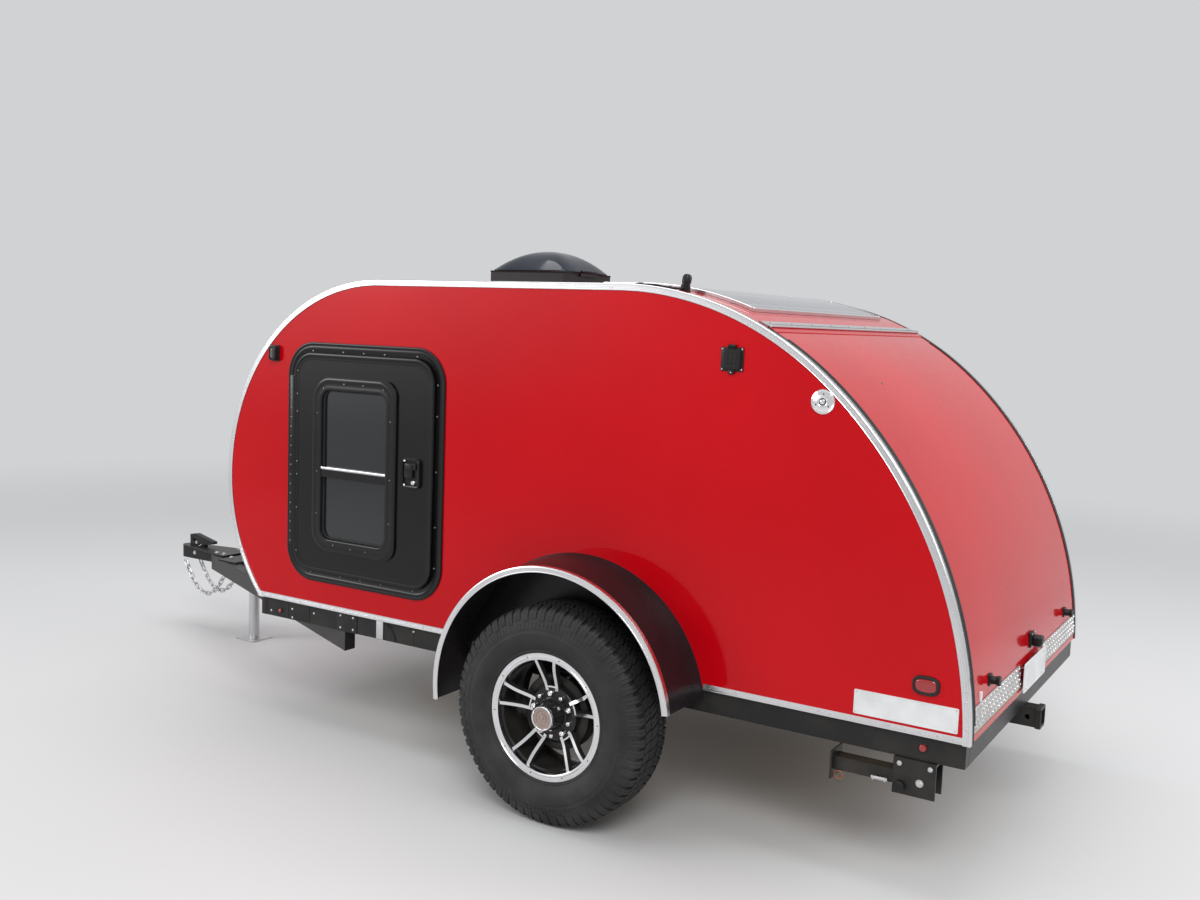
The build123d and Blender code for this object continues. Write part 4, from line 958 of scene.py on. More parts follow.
def make_wheel(form):
    barrel = mm(
        (207.5, -86.5), (207.5, -81.5), (190.2, -79), (190.2, 78.5), (189, 79), (185, 70), (179.5, 63),
        (178.8, 20), (174, 12), (173.5, -60), (180, -78), (199, -87))
    form.lathe(barrel, WHEEL, OUT, 96, tube=True)
    hub = mm(
        (23, -20), (90, -20), (90, 23), (88.5, 37), (87, 38.5), (56, 38.5), (55.5, 42), (52.5, 44),
        (50.5, 44.5), (41.5, 93), (39.5, 95), (0, 95))
    form.lathe(hub, WHEEL, OUT, 64)
    for pair in range(5):
        middle = PAIR_START + 72.0 * pair
        for hand in (1, -1):
            rings = []
            for radial, offset, out in SPOKE:
                t = hand * offset
                rings.append([wheel_place(radial, t + dt, out + dh, middle) for dt, dh in SPOKE_SECTION])
            form.sweep(rings, bands=[1, 0, 0, 0, 0, 0])
        rings = []
        for k in range(9):
            a = middle - 12.8 + 25.6 * k / 8
            rings.append([wheel_place(radial, 0.0, out, a) for radial, out in WEB_SECTION])
        form.sweep(rings, bands=[1, 0, 0, 0, 0, 0])
        for seat, size in ((middle, 0.0108), (middle + 36.0, 0.0086)):
            place = wheel_place(0.07, 0.0, 0.0385, seat)
            form.slot = 2
            nut = [(size, -0.001), (size, 0.0012), (0.78 * size, 0.015), (0.7 * size, 0.0158),
                   (0.48 * size, 0.0158), (0.44 * size, 0.008), (0.0, 0.008)]
            form.lathe(nut, place, OUT, 12)
            form.slot = 0
    form.slot = 1
    lip = mm(
        (190.2, 70), (190.2, 79), (207, 81.2), (208.8, 83.5), (209.4, 86.2), (208.8, 87.4), (206, 87.6),
        (204.8, 86.4), (195, 86), (193.5, 87.2), (189, 87), (186.8, 85.6), (185.2, 80), (185, 70))
    form.lathe(lip, WHEEL, OUT, 128, tube=True)
    form.slot = 2
    cap = mm(
        (40, 94), (40.8, 97.5), (40.2, 101.5), (38.5, 103.5), (36, 103.5), (34.5, 101.5), (34, 98.5),
        (32, 94))
    form.lathe(cap, WHEEL, OUT, 64, tube=True)
    form.slot = 3
    face = mm(
        (34.5, 94), (34.5, 99), (27, 99), (26.2, 100.2), (24, 100.2), (23.2, 98.8), (16.5, 98.8),
        (15.8, 100.4), (13, 100.4), (12.2, 99), (7, 99), (6.4, 100.6), (3.4, 101.4), (0, 101.5))
    form.lathe(face, WHEEL, OUT, 48)
    form.slot = 0
    for k in range(10):
        form.lathe(mm((2.2, -0.5), (2.2, 0.9), (0, 0.9)),
                   wheel_place(0.199, 0.0, 0.0858, PAIR_START + 18.0 + 36.0 * k), OUT, 10)
    valve = [wheel_place(radial, 0.0, out, 60) for radial, out in mm((180, 56), (174, 70), (169, 86))]
    form.tube(valve, 0.0042, 10)
    form.slot = 2
    for a in (PAIR_START + 18.0, PAIR_START + 138.0, PAIR_START + 258.0):
        out = wheel_place(0.047, 0.0, 0.06, a)
        normal = out - wheel_place(0.0, 0.0, 0.0535, a)
        form.hexagon(out, normal, 0.0048, 0.0035)


def make_drum(form):
    drum = mm(
        (90, -30), (126.5, -30), (128, -28.5), (128, -18), (125, -16.5), (125, 15), (123.5, 18),
        (120, 19.5), (100, 20.5), (98, 16), (88, 16))
    form.lathe(drum, WHEEL, OUT, 64, tube=True)


both("cast_wheel", make_wheel, ["wheel_black", "machined", "chrome", "bronze"], "left_wheel", "right_wheel",
     stands=["wheel"], finish="cast_wheel")
both("brake_drum", make_drum, ["frame"], "left_wheel", "right_wheel", finish="black_paint")


# Roof vent
VENT_X = -0.1
LID_RIM, LID_TOP = 1.822, 1.9041


def squared_ring(half, z, power, steps=56):
    """A ring between a circle and a square, about the vent's middle."""
    return [(VENT_X + half * u, half * v, z) for u, v in rounded_turn(power, steps)]


def make_lid(form):
    outside = [(0.182, 1.8184, 7.0), (0.1832, 1.8192, 7.0), (0.1834, 1.8214, 7.0), (0.1824, 1.8226, 7.0)]
    for reach in (0.97, 0.93, 0.88, 0.82, 0.75, 0.67, 0.58, 0.48, 0.37, 0.26, 0.15, 0.06, 0.002):
        half = 0.1834 * reach * (1.0 + 0.05 * (1.0 - reach))
        outside.append((half, LID_RIM + (LID_TOP - LID_RIM) * (1.0 - reach ** 2.1), 3.0 + 3.5 * reach))
    inside = [(half * 0.965, z - 0.0035, power) for half, z, power in outside[4:]]
    rings = [squared_ring(*ring) for ring in outside] + [squared_ring(*ring) for ring in inside[::-1]]
    rings.append(squared_ring(0.17, 1.8184, 9.0))
    form.sweep(rings, closed=True)
    form.block((VENT_X - 0.193, -0.058, 1.8186), (VENT_X - 0.176, 0.058, 1.828), 0.003)


def make_vent_dress(form):
    """Screws and the gasket round the vent's flange and upstand."""
    ring = mm((0, 1812), (3.5, 1813.5), (4, 1816), (3, 1818.2), (-1, 1818.2), (-1, 1812))
    path = round_rect((VENT_X, 0.0), 0.35, 0.35, 0.004, 3)
    form.sweep([[(x + nx * out, y + ny * out, z) for out, z in ring] for x, y, nx, ny in path], closed=True)
    form.slot = 1
    for a in (-0.187, -0.094, 0.0, 0.094, 0.187):
        for place in ((VENT_X + a, 0.187), (VENT_X + a, -0.187), (VENT_X + 0.187, a), (VENT_X - 0.187, a)):
            form.screw((*place, 1.754), UP, 0.0042, 0.0024)


add("vent_dome", make_lid, ["vent_lid"], "roof_vent", ["vent_lid"], finish="vent_smoked")
add("vent_dress", make_vent_dress, ["seal", "zinc"], finish="vent_black")


# Solar panel: frame round the curved sheet
PANEL_FRONT, PANEL_REAR, PANEL_HALF, PANEL_RISE = -0.725, -1.285, 0.6, 0.01


def roof_place(x, y, rise):
    """Point over the roof or the rear arc, raised off the skin."""
    if x >= ROOF_END_X:
        return Vector((x, y, ROOF_Z + rise))
    angle = asin((ROOF_END_X - x) / REAR_RADIUS)
    radius = REAR_RADIUS + rise
    return Vector((REAR_CENTRE[0] - radius * sin(angle), y, REAR_CENTRE[1] + radius * cos(angle)))


def make_panel_frame(form):
    top = PANEL_RISE + 0.0016
    steps = 22
    xs = [PANEL_FRONT + (PANEL_REAR - PANEL_FRONT) * k / steps for k in range(steps + 1)]
    for side in (1, -1):
        outer, inner = side * (PANEL_HALF + 0.0012), side * (PANEL_HALF - 0.012)
        section = ((outer, 0.0005), (outer, top - 0.0012), (outer - side * 0.0012, top), (inner, top),
                   (inner, 0.0005))
        form.sweep([[roof_place(x, y, rise) for y, rise in section] for x in xs])
    for end, ahead, behind in ((PANEL_FRONT, 0.0012, 0.012), (PANEL_REAR, 0.012, 0.0012)):
        start, end = end + ahead, end - behind
        section = ((start, 0.0005), (start, top - 0.0003), (end, top - 0.0003), (end, 0.0005))
        form.sweep([[roof_place(x, y, rise) for x, rise in section]
                    for y in (-PANEL_HALF - 0.001, PANEL_HALF + 0.001)])
    form.slot = 1
    for x in (PANEL_FRONT - 0.007, -0.9, -1.08, PANEL_REAR + 0.007):
        for side in (1, -1):
            place = roof_place(x, side * (PANEL_HALF - 0.007), top - 0.0002)
            form.screw(place, roof_place(x, 0, 1.0) - roof_place(x, 0, 0.0), 0.004, 0.002)


add("panel_frame", make_panel_frame, ["bright", "zinc"], finish="bright_trim")


# Hatch hinge: a fixed strip that curls over the bead, and the bead on its leaf
HATCH_HALF = 0.7255


def hinge_place(along, y, rise):
    """Point over the rear arc, measured behind the seam."""
    angle = radians(90.0 + HINGE_TURN) + along / REAR_RADIUS
    radius = REAR_RADIUS + rise
    return Vector((REAR_CENTRE[0] + radius * cos(angle), y, REAR_CENTRE[1] + radius * sin(angle)))


def hinge_bar(form, profile):
    """A bar of an (along, rise) profile across the whole hinge."""
    form.sweep([[hinge_place(u, y, w) for u, w in profile] for y in (-HATCH_HALF, HATCH_HALF)])


def make_roof_hinge(form):
    curl = mm(
        (-40.5, 0.4), (-40.2, 3.8), (-39, 4.7), (-37, 5.1), (-11, 6), (-7.8, 7.2), (-6, 10.8), (-4.6, 13.4),
        (-2.4, 15), (0.2, 15.4), (1, 15), (0.2, 14.4), (-2, 14), (-3.8, 12.6), (-5, 10.4), (-5.5, 7),
        (-6, 0.4))
    hinge_bar(form, curl)
    form.slot = 1
    up = hinge_place(0.0, 0.0, 1.0) - hinge_place(0.0, 0.0, 0.0)
    for k in range(9):
        form.screw(hinge_place(-0.024, -0.68 + 0.17 * k, 0.0054), up, 0.0036, 0.0018)


def make_hatch_hinge(form):
    bead = [(0.005 * cos(a), 0.009 + 0.005 * sin(a)) for a in turn(16)]
    hinge_bar(form, bead)
    form.slot = 1
    leaf = mm((-2, 4.4), (6, 4.4), (23, 2.6), (25, 1), (25, 0.2), (-2, 0.2))
    hinge_bar(form, leaf)


add("hinge_cover", make_roof_hinge, ["bright", "dark_screw"], stands=["roof_hinge"], finish="bright_trim")
add("hinge_bead", make_hatch_hinge, ["bright", "red"], "hatch", ["hatch_hinge"], finish="bright_trim")


def make_roof_wiring(form):
    """Cable gland beside the panel, and its cable clipped along the roof's edge."""
    foot = roof_place(-1.066, 0.655, 0.0)
    up = (roof_place(-1.066, 0.655, 1.0) - foot).normalized()
    gland = mm(
        (19, -1), (19, 4), (16.5, 5.5), (16.5, 16), (14, 17.5), (14, 26), (15.5, 27.5), (15.5, 44),
        (12, 51), (6, 54), (0, 54.5))
    form.lathe(gland, foot, up, 12)
    run = mm(
        (-1066, 669, 10), (-1063, 684, 6), (-1054, 700, 4), (-1038, 709, 4), (-1020, 711, 4),
        (-990, 712, 5.5), (-960, 711, 4), (-935, 709, 4), (-915, 702, 4), (-905, 694, 1))
    form.tube([roof_place(*point) for point in run], 0.0035, 10)
    for x in (-1.04, -0.985, -0.935):
        low = roof_place(x, 0.7105, 0.0)
        form.block(low + Vector((-0.005, -0.0085, -0.002)), low + Vector((0.005, 0.0085, 0.0082)), 0.0015)
    form.slot = 1
    form.screw(roof_place(-1.212, 0.618, 0.0), up, 0.004, 0.002)


add("roof_wiring", make_roof_wiring, ["black", "dark_screw"], finish="black_plastic")


# Hatch fittings: tread plate, number plate, latches and the plate lamp
def tail_place(y, z, rise):
    """Point on the tail's skin at a height, raised off it."""
    angle = pi - asin((z - TAIL_CENTRE[1]) / TAIL_RADIUS)
    radius = TAIL_RADIUS + rise
    return Vector((TAIL_CENTRE[0] + radius * cos(angle), y, TAIL_CENTRE[1] + radius * sin(angle)))


PLATE_HALF, TREAD_LOW, TREAD_TOP = 0.16, 0.5095, 0.5835
PLATE_FACE, LATCH_Z, LAMP_Z = -2.0929, 0.623, 0.632
LOZENGE_PITCH = 0.0175
LOZENGE = (
    mm((-7.2, 0, 0), (-3, 1.9, 0), (3, 1.9, 0), (7.2, 0, 0), (3, -1.9, 0), (-3, -1.9, 0)),
    mm((-5.6, 0, 1.1), (-2.6, 1, 1.1), (2.6, 1, 1.1), (5.6, 0, 1.1), (2.6, -1, 1.1), (-2.6, -1, 1.1)))


def make_tread(form):
    """Bright sheet with raised lozenges that point two ways."""
    levels = [TREAD_LOW + (TREAD_TOP - TREAD_LOW) * k / 6 for k in range(7)]
    section = [(z, 0.0021) for z in levels] + [(z, 0.0004) for z in levels[::-1]]
    for side in (1, -1):
        form.sweep([[tail_place(y, z, rise) for z, rise in section]
                    for y in (side * PLATE_HALF, side * HATCH_HALF)])
        for i in range(int((HATCH_HALF - PLATE_HALF) / LOZENGE_PITCH)):
            for j in range(4):
                y = side * (PLATE_HALF + LOZENGE_PITCH * (i + 0.5))
                z = TREAD_LOW + 0.0095 + LOZENGE_PITCH * j
                lean = 1 if (i + j) % 2 else -1
                middle = tail_place(y, z, 0.0022)
                along = Vector((0.0, lean, 1.0)).normalized()
                across = Vector((0.0, 1.0, -lean)).normalized()
                form.sweep([[middle + along * a + across * b - Vector((rise, 0, 0)) for a, b, rise in ring]
                            for ring in LOZENGE])
    form.slot = 1
    for side in (1, -1):
        for y in (0.18, 0.36, 0.54, 0.708):
            for z in (TREAD_LOW + 0.004, TREAD_TOP - 0.004):
                form.screw(tail_place(side * y, z, 0.0022), (-1, 0, 0.06), 0.0028, 0.0016)


def make_number_plate(form):
    """A blank plate with a raised rim, its backing and four screws."""
    path = round_rect((0.0, 0.535), 0.32, 0.098, 0.012, 5)
    rim = mm(
        (0, -2091.1), (0, -2093.1), (-1.2, -2094.1), (-3, -2094.3), (-4.5, -2093.5), (-5.5, -2092.8),
        (-5.5, -2091.1))
    form.sweep(follow_tail(path, rim), closed=True)
    form.prism(shrunk(path, 0.005), rear_plane, PLATE_FACE, -2.0911)
    form.slot = 1
    for y, z in crossings((-0.12, 0.12), (0.498, 0.572)):
        form.screw((PLATE_FACE, y, z), BACK, 0.0045, 0.0024)
    form.slot = 2
    form.block((-2.091, -0.118, 0.52), (-2.074, 0.118, 0.563), 0.002)


def make_latches(form):
    """Two compression latches and the number plate's lamp."""
    knob = mm(
        (12.5, 4), (12.5, 18), (11.8, 20), (9.5, 20.5), (9.5, 21.5), (14.5, 22.5), (15, 24.5), (15, 31),
        (14, 32.5), (5, 32.8), (4, 31), (0, 31))
    for y in (0.54, -0.54):
        base = tail_place(y, LATCH_Z, 0.0)
        form.block((base.x - 0.006, y - 0.017, 0.606), (base.x + 0.004, y + 0.017, 0.64), 0.003)
        form.lathe(knob, (base.x, y, LATCH_Z), BACK, 24)
        form.block((base.x - 0.033, y - 0.0032, 0.6105), (base.x - 0.029, y + 0.0032, 0.6355), 0.0012)
    base = tail_place(0.0, LAMP_Z, 0.0)
    form.block((base.x - 0.009, -0.026, 0.6075), (base.x + 0.004, 0.026, 0.6575), 0.004, 3)
    form.block((base.x - 0.041, -0.023, 0.616), (base.x - 0.006, 0.023, 0.648), 0.009, 4)
    form.slot = 1
    form.block((base.x - 0.036, -0.017, 0.612), (base.x - 0.012, 0.017, 0.6165), 0.002)
    form.slot = 2
    for y, z in crossings((-0.0205, 0.0205), (0.6115, 0.6535)):
        form.screw((base.x - 0.0088, y, z), BACK, 0.0026, 0.0015)


def make_reflector(form):
    """White clip at the tread plate's end, and a plug high on the skin."""
    x = tail_place(0.65, 0.598, 0.0).x
    form.block((x - 0.0048, 0.64, 0.5845), (x + 0.003, 0.658, 0.613), 0.0018)
    form.slot = 1
    plug = tail_place(0.347, 1.464, 0.0)
    form.screw(plug, tail_place(0.347, 1.464, 1.0) - plug, 0.005, 0.0022)


add("tread_sheet", make_tread, ["tread", "zinc"], "hatch", ["tread_plate"], finish="tread_metal")
add("blank_plate", make_number_plate, ["white", "zinc", "black"], "hatch", ["number_plate"],
    finish="plate_white")
add("latches_and_lamp", make_latches, ["black", "clear", "zinc"], "hatch", ["hatch_latches"],
    finish="black_plastic")
add("hatch_reflector", make_reflector, ["white", "dark_screw"], "hatch", finish="plate_white")


# Blank nameplate on the left side
def make_nameplate(form):
    path = round_rect((-1.895, 0.5485), 0.306, 0.073, 0.004, 4)
    form.prism(shrunk(path, 0.0), side_plane, 0.7618, 0.7632)
    form.sweep(follow(path, mm((0, 763), (-0.6, 763.8), (-2.2, 763.8), (-2.8, 763))), closed=True)
    form.slot = 1
    form.screws(crossings((-1.7485, -2.0415), (0.519, 0.578)), 0.7632, 0.0028, 0.0014)


add("blank_nameplate", make_nameplate, ["white", "zinc"], finish="plate_white")


# Side fittings
def make_porch(form):
    x, z = 0.666, 1.461
    form.block((x - 0.0215, 0.7625, z - 0.031), (x + 0.0215, 0.77, z + 0.031), 0.0025, 3)
    path = round_rect((x, z), 0.038, 0.057, 0.01, 5)
    body = mm((0, 769), (0, 780), (-1.5, 784.5), (-4, 786.8), (-7, 787), (-7.8, 785), (-7.8, 769))
    form.sweep(follow(path, body), closed=True)
    form.slot = 1
    lens_path = round_rect((x, z), 0.023, 0.042, 0.0078, 6)
    dome = mm((0, 784), (3, 787), (7, 788.5))
    for (inset, y), (next_inset, next_y) in zip(dome, dome[1:]):
        low = [side_plane(*point, y) for point in shrunk(lens_path, inset)]
        high = [side_plane(*point, next_y) for point in shrunk(lens_path, next_inset)]
        form.sweep([low, high], caps=False)
    form.prism(shrunk(lens_path, 0.007), side_plane, 0.787, 0.7885)


def make_inlet(form):
    """Weatherproof inlet: flange with four screws, ribbed cover, hinge above and latch tab below."""
    x, z = -1.297, 1.528
    form.block((x - 0.038, 0.7622, z - 0.0365), (x + 0.038, 0.766, z + 0.0365), 0.0016)
    path = round_rect((x, z), 0.062, 0.064, 0.0125, 6)
    rim = mm((0, 765), (0, 771), (-1.2, 772.8), (-3.5, 773.6), (-10, 773.8), (-10.8, 773), (-10.8, 765))
    form.sweep(follow(path, rim), closed=True)
    form.prism(shrunk(path, 0.0105), side_plane, 0.765, 0.7732)
    for dx in (-0.014, 0.0, 0.014):
        form.block((x + dx - 0.0022, 0.7725, z - 0.018), (x + dx + 0.0022, 0.7739, z + 0.018), 0.0006)
    form.tube([(x - 0.013, 0.769, z + 0.04), (x + 0.013, 0.769, z + 0.04)], 0.005, 12)
    form.block((x - 0.011, 0.763, z + 0.03), (x + 0.011, 0.7705, z + 0.0445), 0.002)
    form.block((x - 0.01, 0.763, z - 0.0455), (x + 0.01, 0.7715, z - 0.03), 0.003)
    form.slot = 1
    form.screws(crossings((x - 0.033, x + 0.033), (z - 0.031, z + 0.031)), 0.7658, 0.003, 0.0018)
    form.screw((x, 0.7715, z - 0.04), OUT, 0.0026, 0.0016)


LAMP = arc_point(REAR_CENTRE, REAR_RADIUS - 0.02 - 0.037 - 0.0005, 90.0 + 42.4)


def make_lamp(form):
    centre = (LAMP[0], 0.762, LAMP[1])
    body = mm(
        (37, 0.2), (37, 2.2), (36.2, 3.4), (34.5, 4), (33, 3.4), (31.5, 2.8), (30, 3.4), (25, 5.2),
        (20, 6.2), (15, 6.6), (13.5, 5.6), (11.5, 5.4), (8.5, 5.8), (7.8, 7.6), (6.8, 9.2), (4.5, 9.9),
        (0, 10))
    form.lathe(body, centre, OUT, 48)
    form.slot = 1
    form.lathe(mm((11, 5), (11, 6), (8.2, 6.2), (8, 5)), centre, OUT, 28, tube=True)
    form.screws([arc_point(LAMP, 0.023, a) for a in (95, 215, 335)], 0.7672, 0.0026, 0.0014)


MARKER = (-1.9515, 0.634)


def oval_rings(profile, side, half_length, half_height):
    """Rings of an oval side marker, each set in from its full size."""
    return [[(MARKER[0] + u * (half_length - inset), side * y, MARKER[1] + v * (half_height - inset))
             for u, v in rounded_turn(3.0, 40)] for inset, y in profile]


def make_markers(form):
    """Oval side markers in their rubber rings and round markers on the rails."""
    rim = mm((0, 761.5), (0, 766), (1.2, 768.8), (4, 770.2), (7.5, 769.8), (9, 768), (9, 761.5))
    glass = mm((0, 763), (0, 768), (1.2, 769.4), (4.5, 770.4), (10, 770.8))
    for side in (1, -1):
        form.slot = 1
        form.sweep(oval_rings(rim, side, 0.0395, 0.028), caps=False, closed=True)
        form.slot = 0
        form.sweep(oval_rings(glass, side, 0.0306, 0.0191))
        for x, z, size in ((-1.951, 0.448, 0.014), (0.641, 0.437, 0.01)):
            centre = (x, side * RAIL_FACE, z)
            form.slot = 1
            ring = [(size, 0.0), (size, 0.002), (0.92 * size, 0.003), (0.8 * size, 0.003), (0.0, 0.002)]
            form.lathe(ring, centre, (0, side, 0), 28)
            form.slot = 0
            dome = [(0.8 * size, 0.001), (0.8 * size, 0.0045), (0.7 * size, 0.0068), (0.5 * size, 0.0082),
                    (0.25 * size, 0.0088), (0.0, 0.009)]
            form.lathe(dome, centre, (0, side, 0), 28)


def make_porches(form):
    make_porch(form)
    copied = bmesh.ops.duplicate(form.bm, geom=form.everything())["geom"]
    verts = [v for v in copied if isinstance(v, bmesh.types.BMVert)]
    bmesh.ops.scale(form.bm, vec=(1, -1, 1), verts=verts)


add("porch_lamps", make_porches, ["black", "smoked"], stands=["porch_lights"], finish="black_plastic")
add("inlet_cover", make_inlet, ["black", "zinc"], stands=["side_inlet"], finish="black_plastic")
add("round_lamp", make_lamp, ["chrome", "seal"], stands=["side_lamp"], finish="lamp_chrome")
add("marker_lamps", make_markers, ["marker", "seal"], stands=["markers"], finish="marker_red")


# Chassis dressing
def make_rail_fittings(form):
    """End cap, joint plate, seams, strip, rivets and a wire loop on a rail's outer face."""
    low, high = 0.41, 0.483
    face = RAIL_FACE
    form.block((0.718, face - 0.002, 0.409), (0.747, face + 0.0016, 0.4842), 0.0012)
    form.block((0.231, face - 0.001, 0.4095), (0.334, face + 0.0032, 0.4835), 0.0014)
    for rear, front in ((0.483, 0.486), (0.597, 0.6), (-0.05, -0.046)):
        form.block((rear, face - 0.001, low), (front, face + 0.0012, high), 0.0005)
    form.slot = 1
    form.block((0.097, face - 0.001, 0.4105), (0.132, face + 0.0034, 0.483), 0.001)
    for x, z in mm(
        (113, 429), (694, 430), (577, 453), (576, 419), (459, 454), (-48, 466), (250, 470), (315, 470),
        (250, 423), (315, 423)):
        form.screw((x, face + (0.003 if 0.09 < x < 0.34 else 0.0), z), OUT, 0.0046, 0.0026)
    form.slot = 2
    loop = mm(
        (84, -4, 470), (80, 4.5, 469), (68, 5.5, 464), (58, 5, 455), (50, 4.5, 444), (43, 4.5, 430),
        (38, 3, 417), (36, -4, 412))
    form.tube([(x, face + out, z) for x, out, z in loop], 0.0022, 8)


both("rail_fittings", make_rail_fittings, ["frame", "zinc", "seal"], finish="black_paint")


def link_path(length, width):
    """The middle line of a round-wire link: two straights and two half turns."""
    radius, half = width / 2, (length - width) / 2
    half_turn = [pi * k / 8 for k in range(9)]
    return [(hand * (half + radius * sin(a)), hand * radius * cos(a)) for hand in (1, -1) for a in half_turn]


CHAIN_REAR, CHAIN_FRONT, CHAIN_SAG, CHAIN_Y, LINK_PITCH = (1.78, 0.315), (2.068, 0.329), 0.13, 0.044, 0.03


def chain_point(share):
    x = CHAIN_REAR[0] + (CHAIN_FRONT[0] - CHAIN_REAR[0]) * share
    z = CHAIN_REAR[1] + (CHAIN_FRONT[1] - CHAIN_REAR[1]) * share - 4 * CHAIN_SAG * share * (1 - share)
    return (x, z)


def make_chains(form):
    shares = [0.0]
    share = 0.0
    while share < 1.0 and len(shares) < 16:
        x, z = chain_point(shares[-1])
        while share < 1.0:
            share += 0.0005
            to = chain_point(share)
            if hypot(to[0] - x, to[1] - z) >= LINK_PITCH:
                break
        shares.append(share)
    for side in (1, -1):
        for count, share in enumerate(shares):
            before, after = chain_point(share - 0.03), chain_point(share + 0.03)
            x, z = chain_point(share)
            along = Vector((after[0] - before[0], 0, after[1] - before[1])).normalized()
            flat = Vector(OUT) if count % 2 == 0 else along.cross(Vector(OUT))
            across = flat.cross(along)
            middle = Vector((x, side * CHAIN_Y, z))
            link = [middle + along * u + across * v for u, v in link_path(0.04, 0.019)]
            form.tube(link, 0.0034, 8, closed=True)


add("hung_chains", make_chains, ["zinc"], stands=["safety_chains"], finish="zinc")


JACK_X, CRANK_X = 1.62, 1.512


def make_jack_top(form):
    """The jack's cap and collar, the nut on its top, the crank's grip, and the bolts of its plate."""
    cap = mm((29.5, 760), (31, 762), (31, 776), (29.5, 778), (28.5, 778), (28.5, 760))
    collar = mm((30, 300), (30, 306), (29, 307.5), (28.4, 307.5), (28.4, 300))
    for ring in (cap, collar):
        form.lathe(ring, (JACK_X, 0, 0), UP, 40, tube=True)
    form.slot = 1
    for dx, y in crossings((-0.045, 0.045), (-0.105, 0.105)):
        form.hexagon((JACK_X + dx, y, 0.417), UP, 0.0085, 0.0065)
    form.hexagon((JACK_X, 0.0, 0.83), UP, 0.009, 0.006)
    form.slot = 2
    grip = mm(
        (9, 830.2), (11.8, 832), (12.8, 836), (13, 845), (12, 856), (11.8, 866), (12.8, 878), (13, 890),
        (12, 899), (8.5, 903), (0, 904))
    form.lathe(grip, (CRANK_X, 0, 0), UP, 28)


add("jack_dress", make_jack_top, ["frame", "zinc", "black"], finish="black_paint")


def make_coupler_dress(form):
    """Bolts through the coupler's heel, the latch pin, and the safety pin's clip."""
    for x, y in crossings((1.76, 1.812), (-0.07, 0.07)):
        form.hexagon((x, y, 0.416), UP, 0.009, 0.007)
    for side in (1, -1):
        form.hexagon((2.02, side * 0.0326, 0.385), (0, side, 0), 0.0075, 0.006)
        form.hexagon((2.03, side * 0.0138, 0.434), (0, side, 0), 0.006, 0.004)
    clip = mm((1985, 16, 430), (1985, 23, 430), (1990, 26, 423), (1998, 24, 419), (2004, 20, 423))
    form.tube(clip, 0.0018, 8)


add("coupler_bolts", make_coupler_dress, ["zinc"], finish="zinc")


def make_stay_fittings(form):
    """Pivot bolts, two small bolts and the locking knob on a stabiliser bracket."""
    for y, out in ((0.7605, 1), (0.6875, -1)):
        form.hexagon((-1.95, y, 0.345), (0, out, 0), 0.0085, 0.0065)
    for x in (-1.978, -1.888):
        form.hexagon((x, 0.76, 0.392), OUT, 0.0055, 0.004)
    form.slot = 1
    form.lathe(mm((10, 0), (15, 2), (16.5, 6), (16.5, 12), (14, 15), (0, 16)),
               (-1.893, 0.76, 0.325), OUT, 24)


def make_stay_foot(form):
    """Bolts and pin ring on a stabiliser's foot plate, and the lock pin along its arm."""
    form.tube([(-1.806, 0.7545, 0.331), (-1.854, 0.7545, 0.331)], 0.0055, 14)
    for x in (-1.812, -1.848):
        form.block((x - 0.0025, 0.7485, 0.3245), (x + 0.0025, 0.761, 0.3375), 0.001)
    for y in (0.74, 0.708):
        form.hexagon((-1.681, y, 0.362), (1, 0, 0), 0.0075, 0.005)
    form.slot = 1
    ring = [(-1.705 + 0.013 * cos(a), 0.752 + 0.003 * sin(a), 0.312 + 0.013 * sin(a)) for a in turn(20)]
    form.tube(ring, 0.0016, 8, closed=True)


both("stay_fittings", make_stay_fittings, ["zinc", "black"], finish="zinc")
both("stay_foot", make_stay_foot, ["zinc", "pin_orange"], "left_stabiliser", "right_stabiliser",
     finish="zinc")


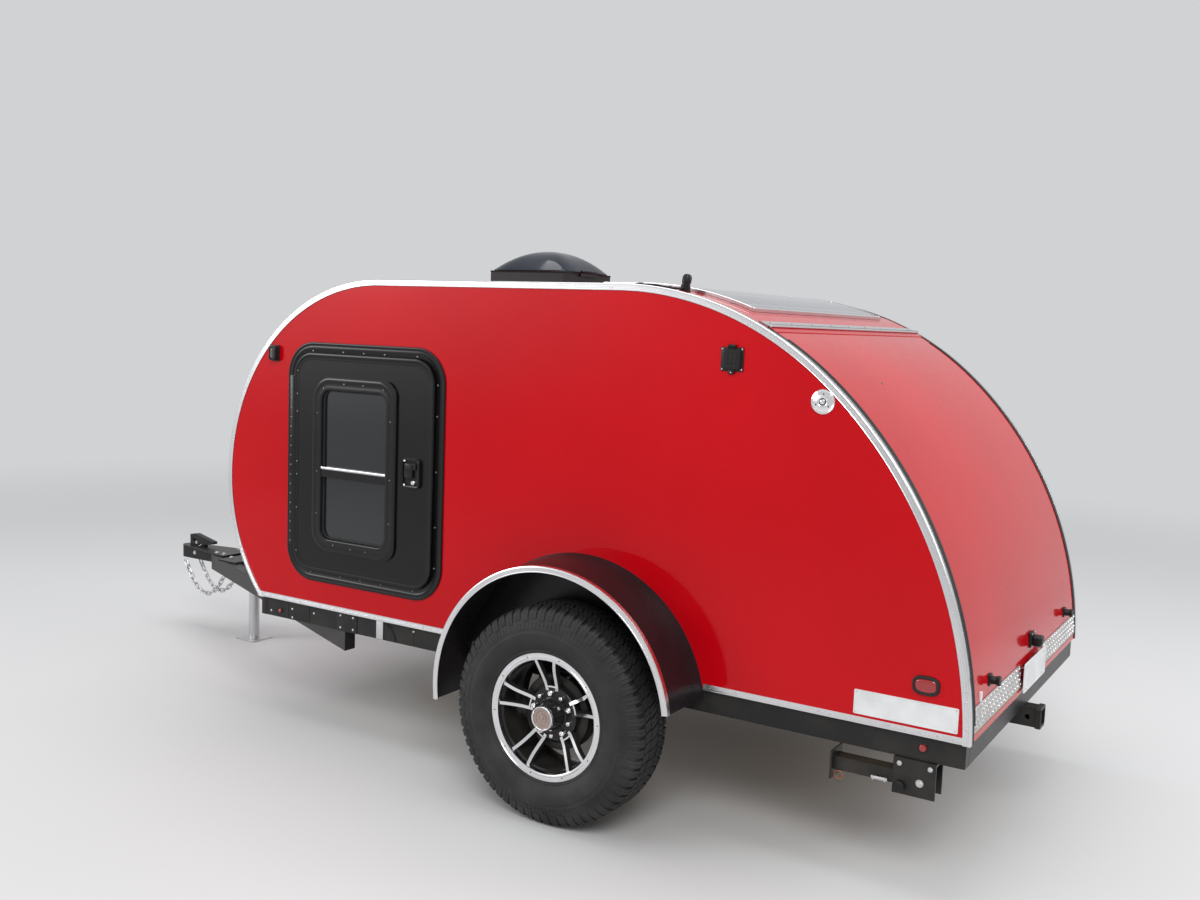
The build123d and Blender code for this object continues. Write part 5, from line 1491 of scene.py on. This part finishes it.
def make_receiver_collar(form):
    """Reinforcing collar round the receiver's mouth."""
    path = round_rect((0.0, 0.37725), 0.0635, 0.0635, 0.006, 4)
    ring = mm((-0.4, -2129), (4, -2129), (5.2, -2127.8), (5.2, -2112.2), (4, -2111), (-0.4, -2111))
    form.sweep(follow_tail(path, ring), closed=True)


add("receiver_collar", make_receiver_collar, ["frame"], finish="black_paint")


# Mattress: a filled cloth cover, flat where it rests on the floor
MATTRESS_CELL, MATTRESS_INSET, MATTRESS_SWELL = 0.026, 0.01, 0.018
FILL_PRESSURE, FILL_FRAMES = 4.0, 20


def make_mattress():
    low, high = (Vector(corner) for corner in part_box("mattress"))
    inset = Vector((MATTRESS_INSET, MATTRESS_INSET, 0.0))
    top = Vector((0.0, 0.0, MATTRESS_SWELL))

    def cover(form):
        form.block(low + inset, high - inset - top, 0.018, 3)

    piece = add("mattress_pad", cover, ["cloth"], stands=["mattress"], finish="mattress_cloth")

    def evaluated():
        graph = bpy.context.evaluated_depsgraph_get()
        return bpy.data.meshes.new_from_object(piece.evaluated_get(graph))

    cells = piece.modifiers.new("cells", "REMESH")
    cells.mode = "VOXEL"
    cells.voxel_size = MATTRESS_CELL
    bpy.context.view_layer.update()
    remeshed = evaluated()
    piece.modifiers.clear()
    piece.data = remeshed
    start = [vert.co.copy() for vert in remeshed.vertices]
    filling = piece.modifiers.new("filling", "CLOTH")
    filling.settings.use_pressure = True
    filling.settings.uniform_pressure_force = FILL_PRESSURE
    filling.settings.effector_weights.gravity = 0.0
    filling.point_cache.frame_end = FILL_FRAMES
    for frame_number in range(1, FILL_FRAMES + 1):
        scene.frame_set(frame_number)
    filled = evaluated()
    piece.modifiers.clear()
    scene.frame_set(1)
    for vert, rest in zip(filled.vertices, start):
        moved = vert.co - rest
        if moved.length > MATTRESS_SWELL:
            moved *= MATTRESS_SWELL / moved.length
        placed = rest + moved
        vert.co = [min(max(c, a), b) for c, a, b in zip(placed, low, high)]
    filled.materials.clear()
    filled.materials.append(M["cloth"])
    for face in filled.polygons:
        face.use_smooth = True
    piece.data = filled
    piece.modifiers.new("soften", "SUBSURF").render_levels = 1


make_mattress()
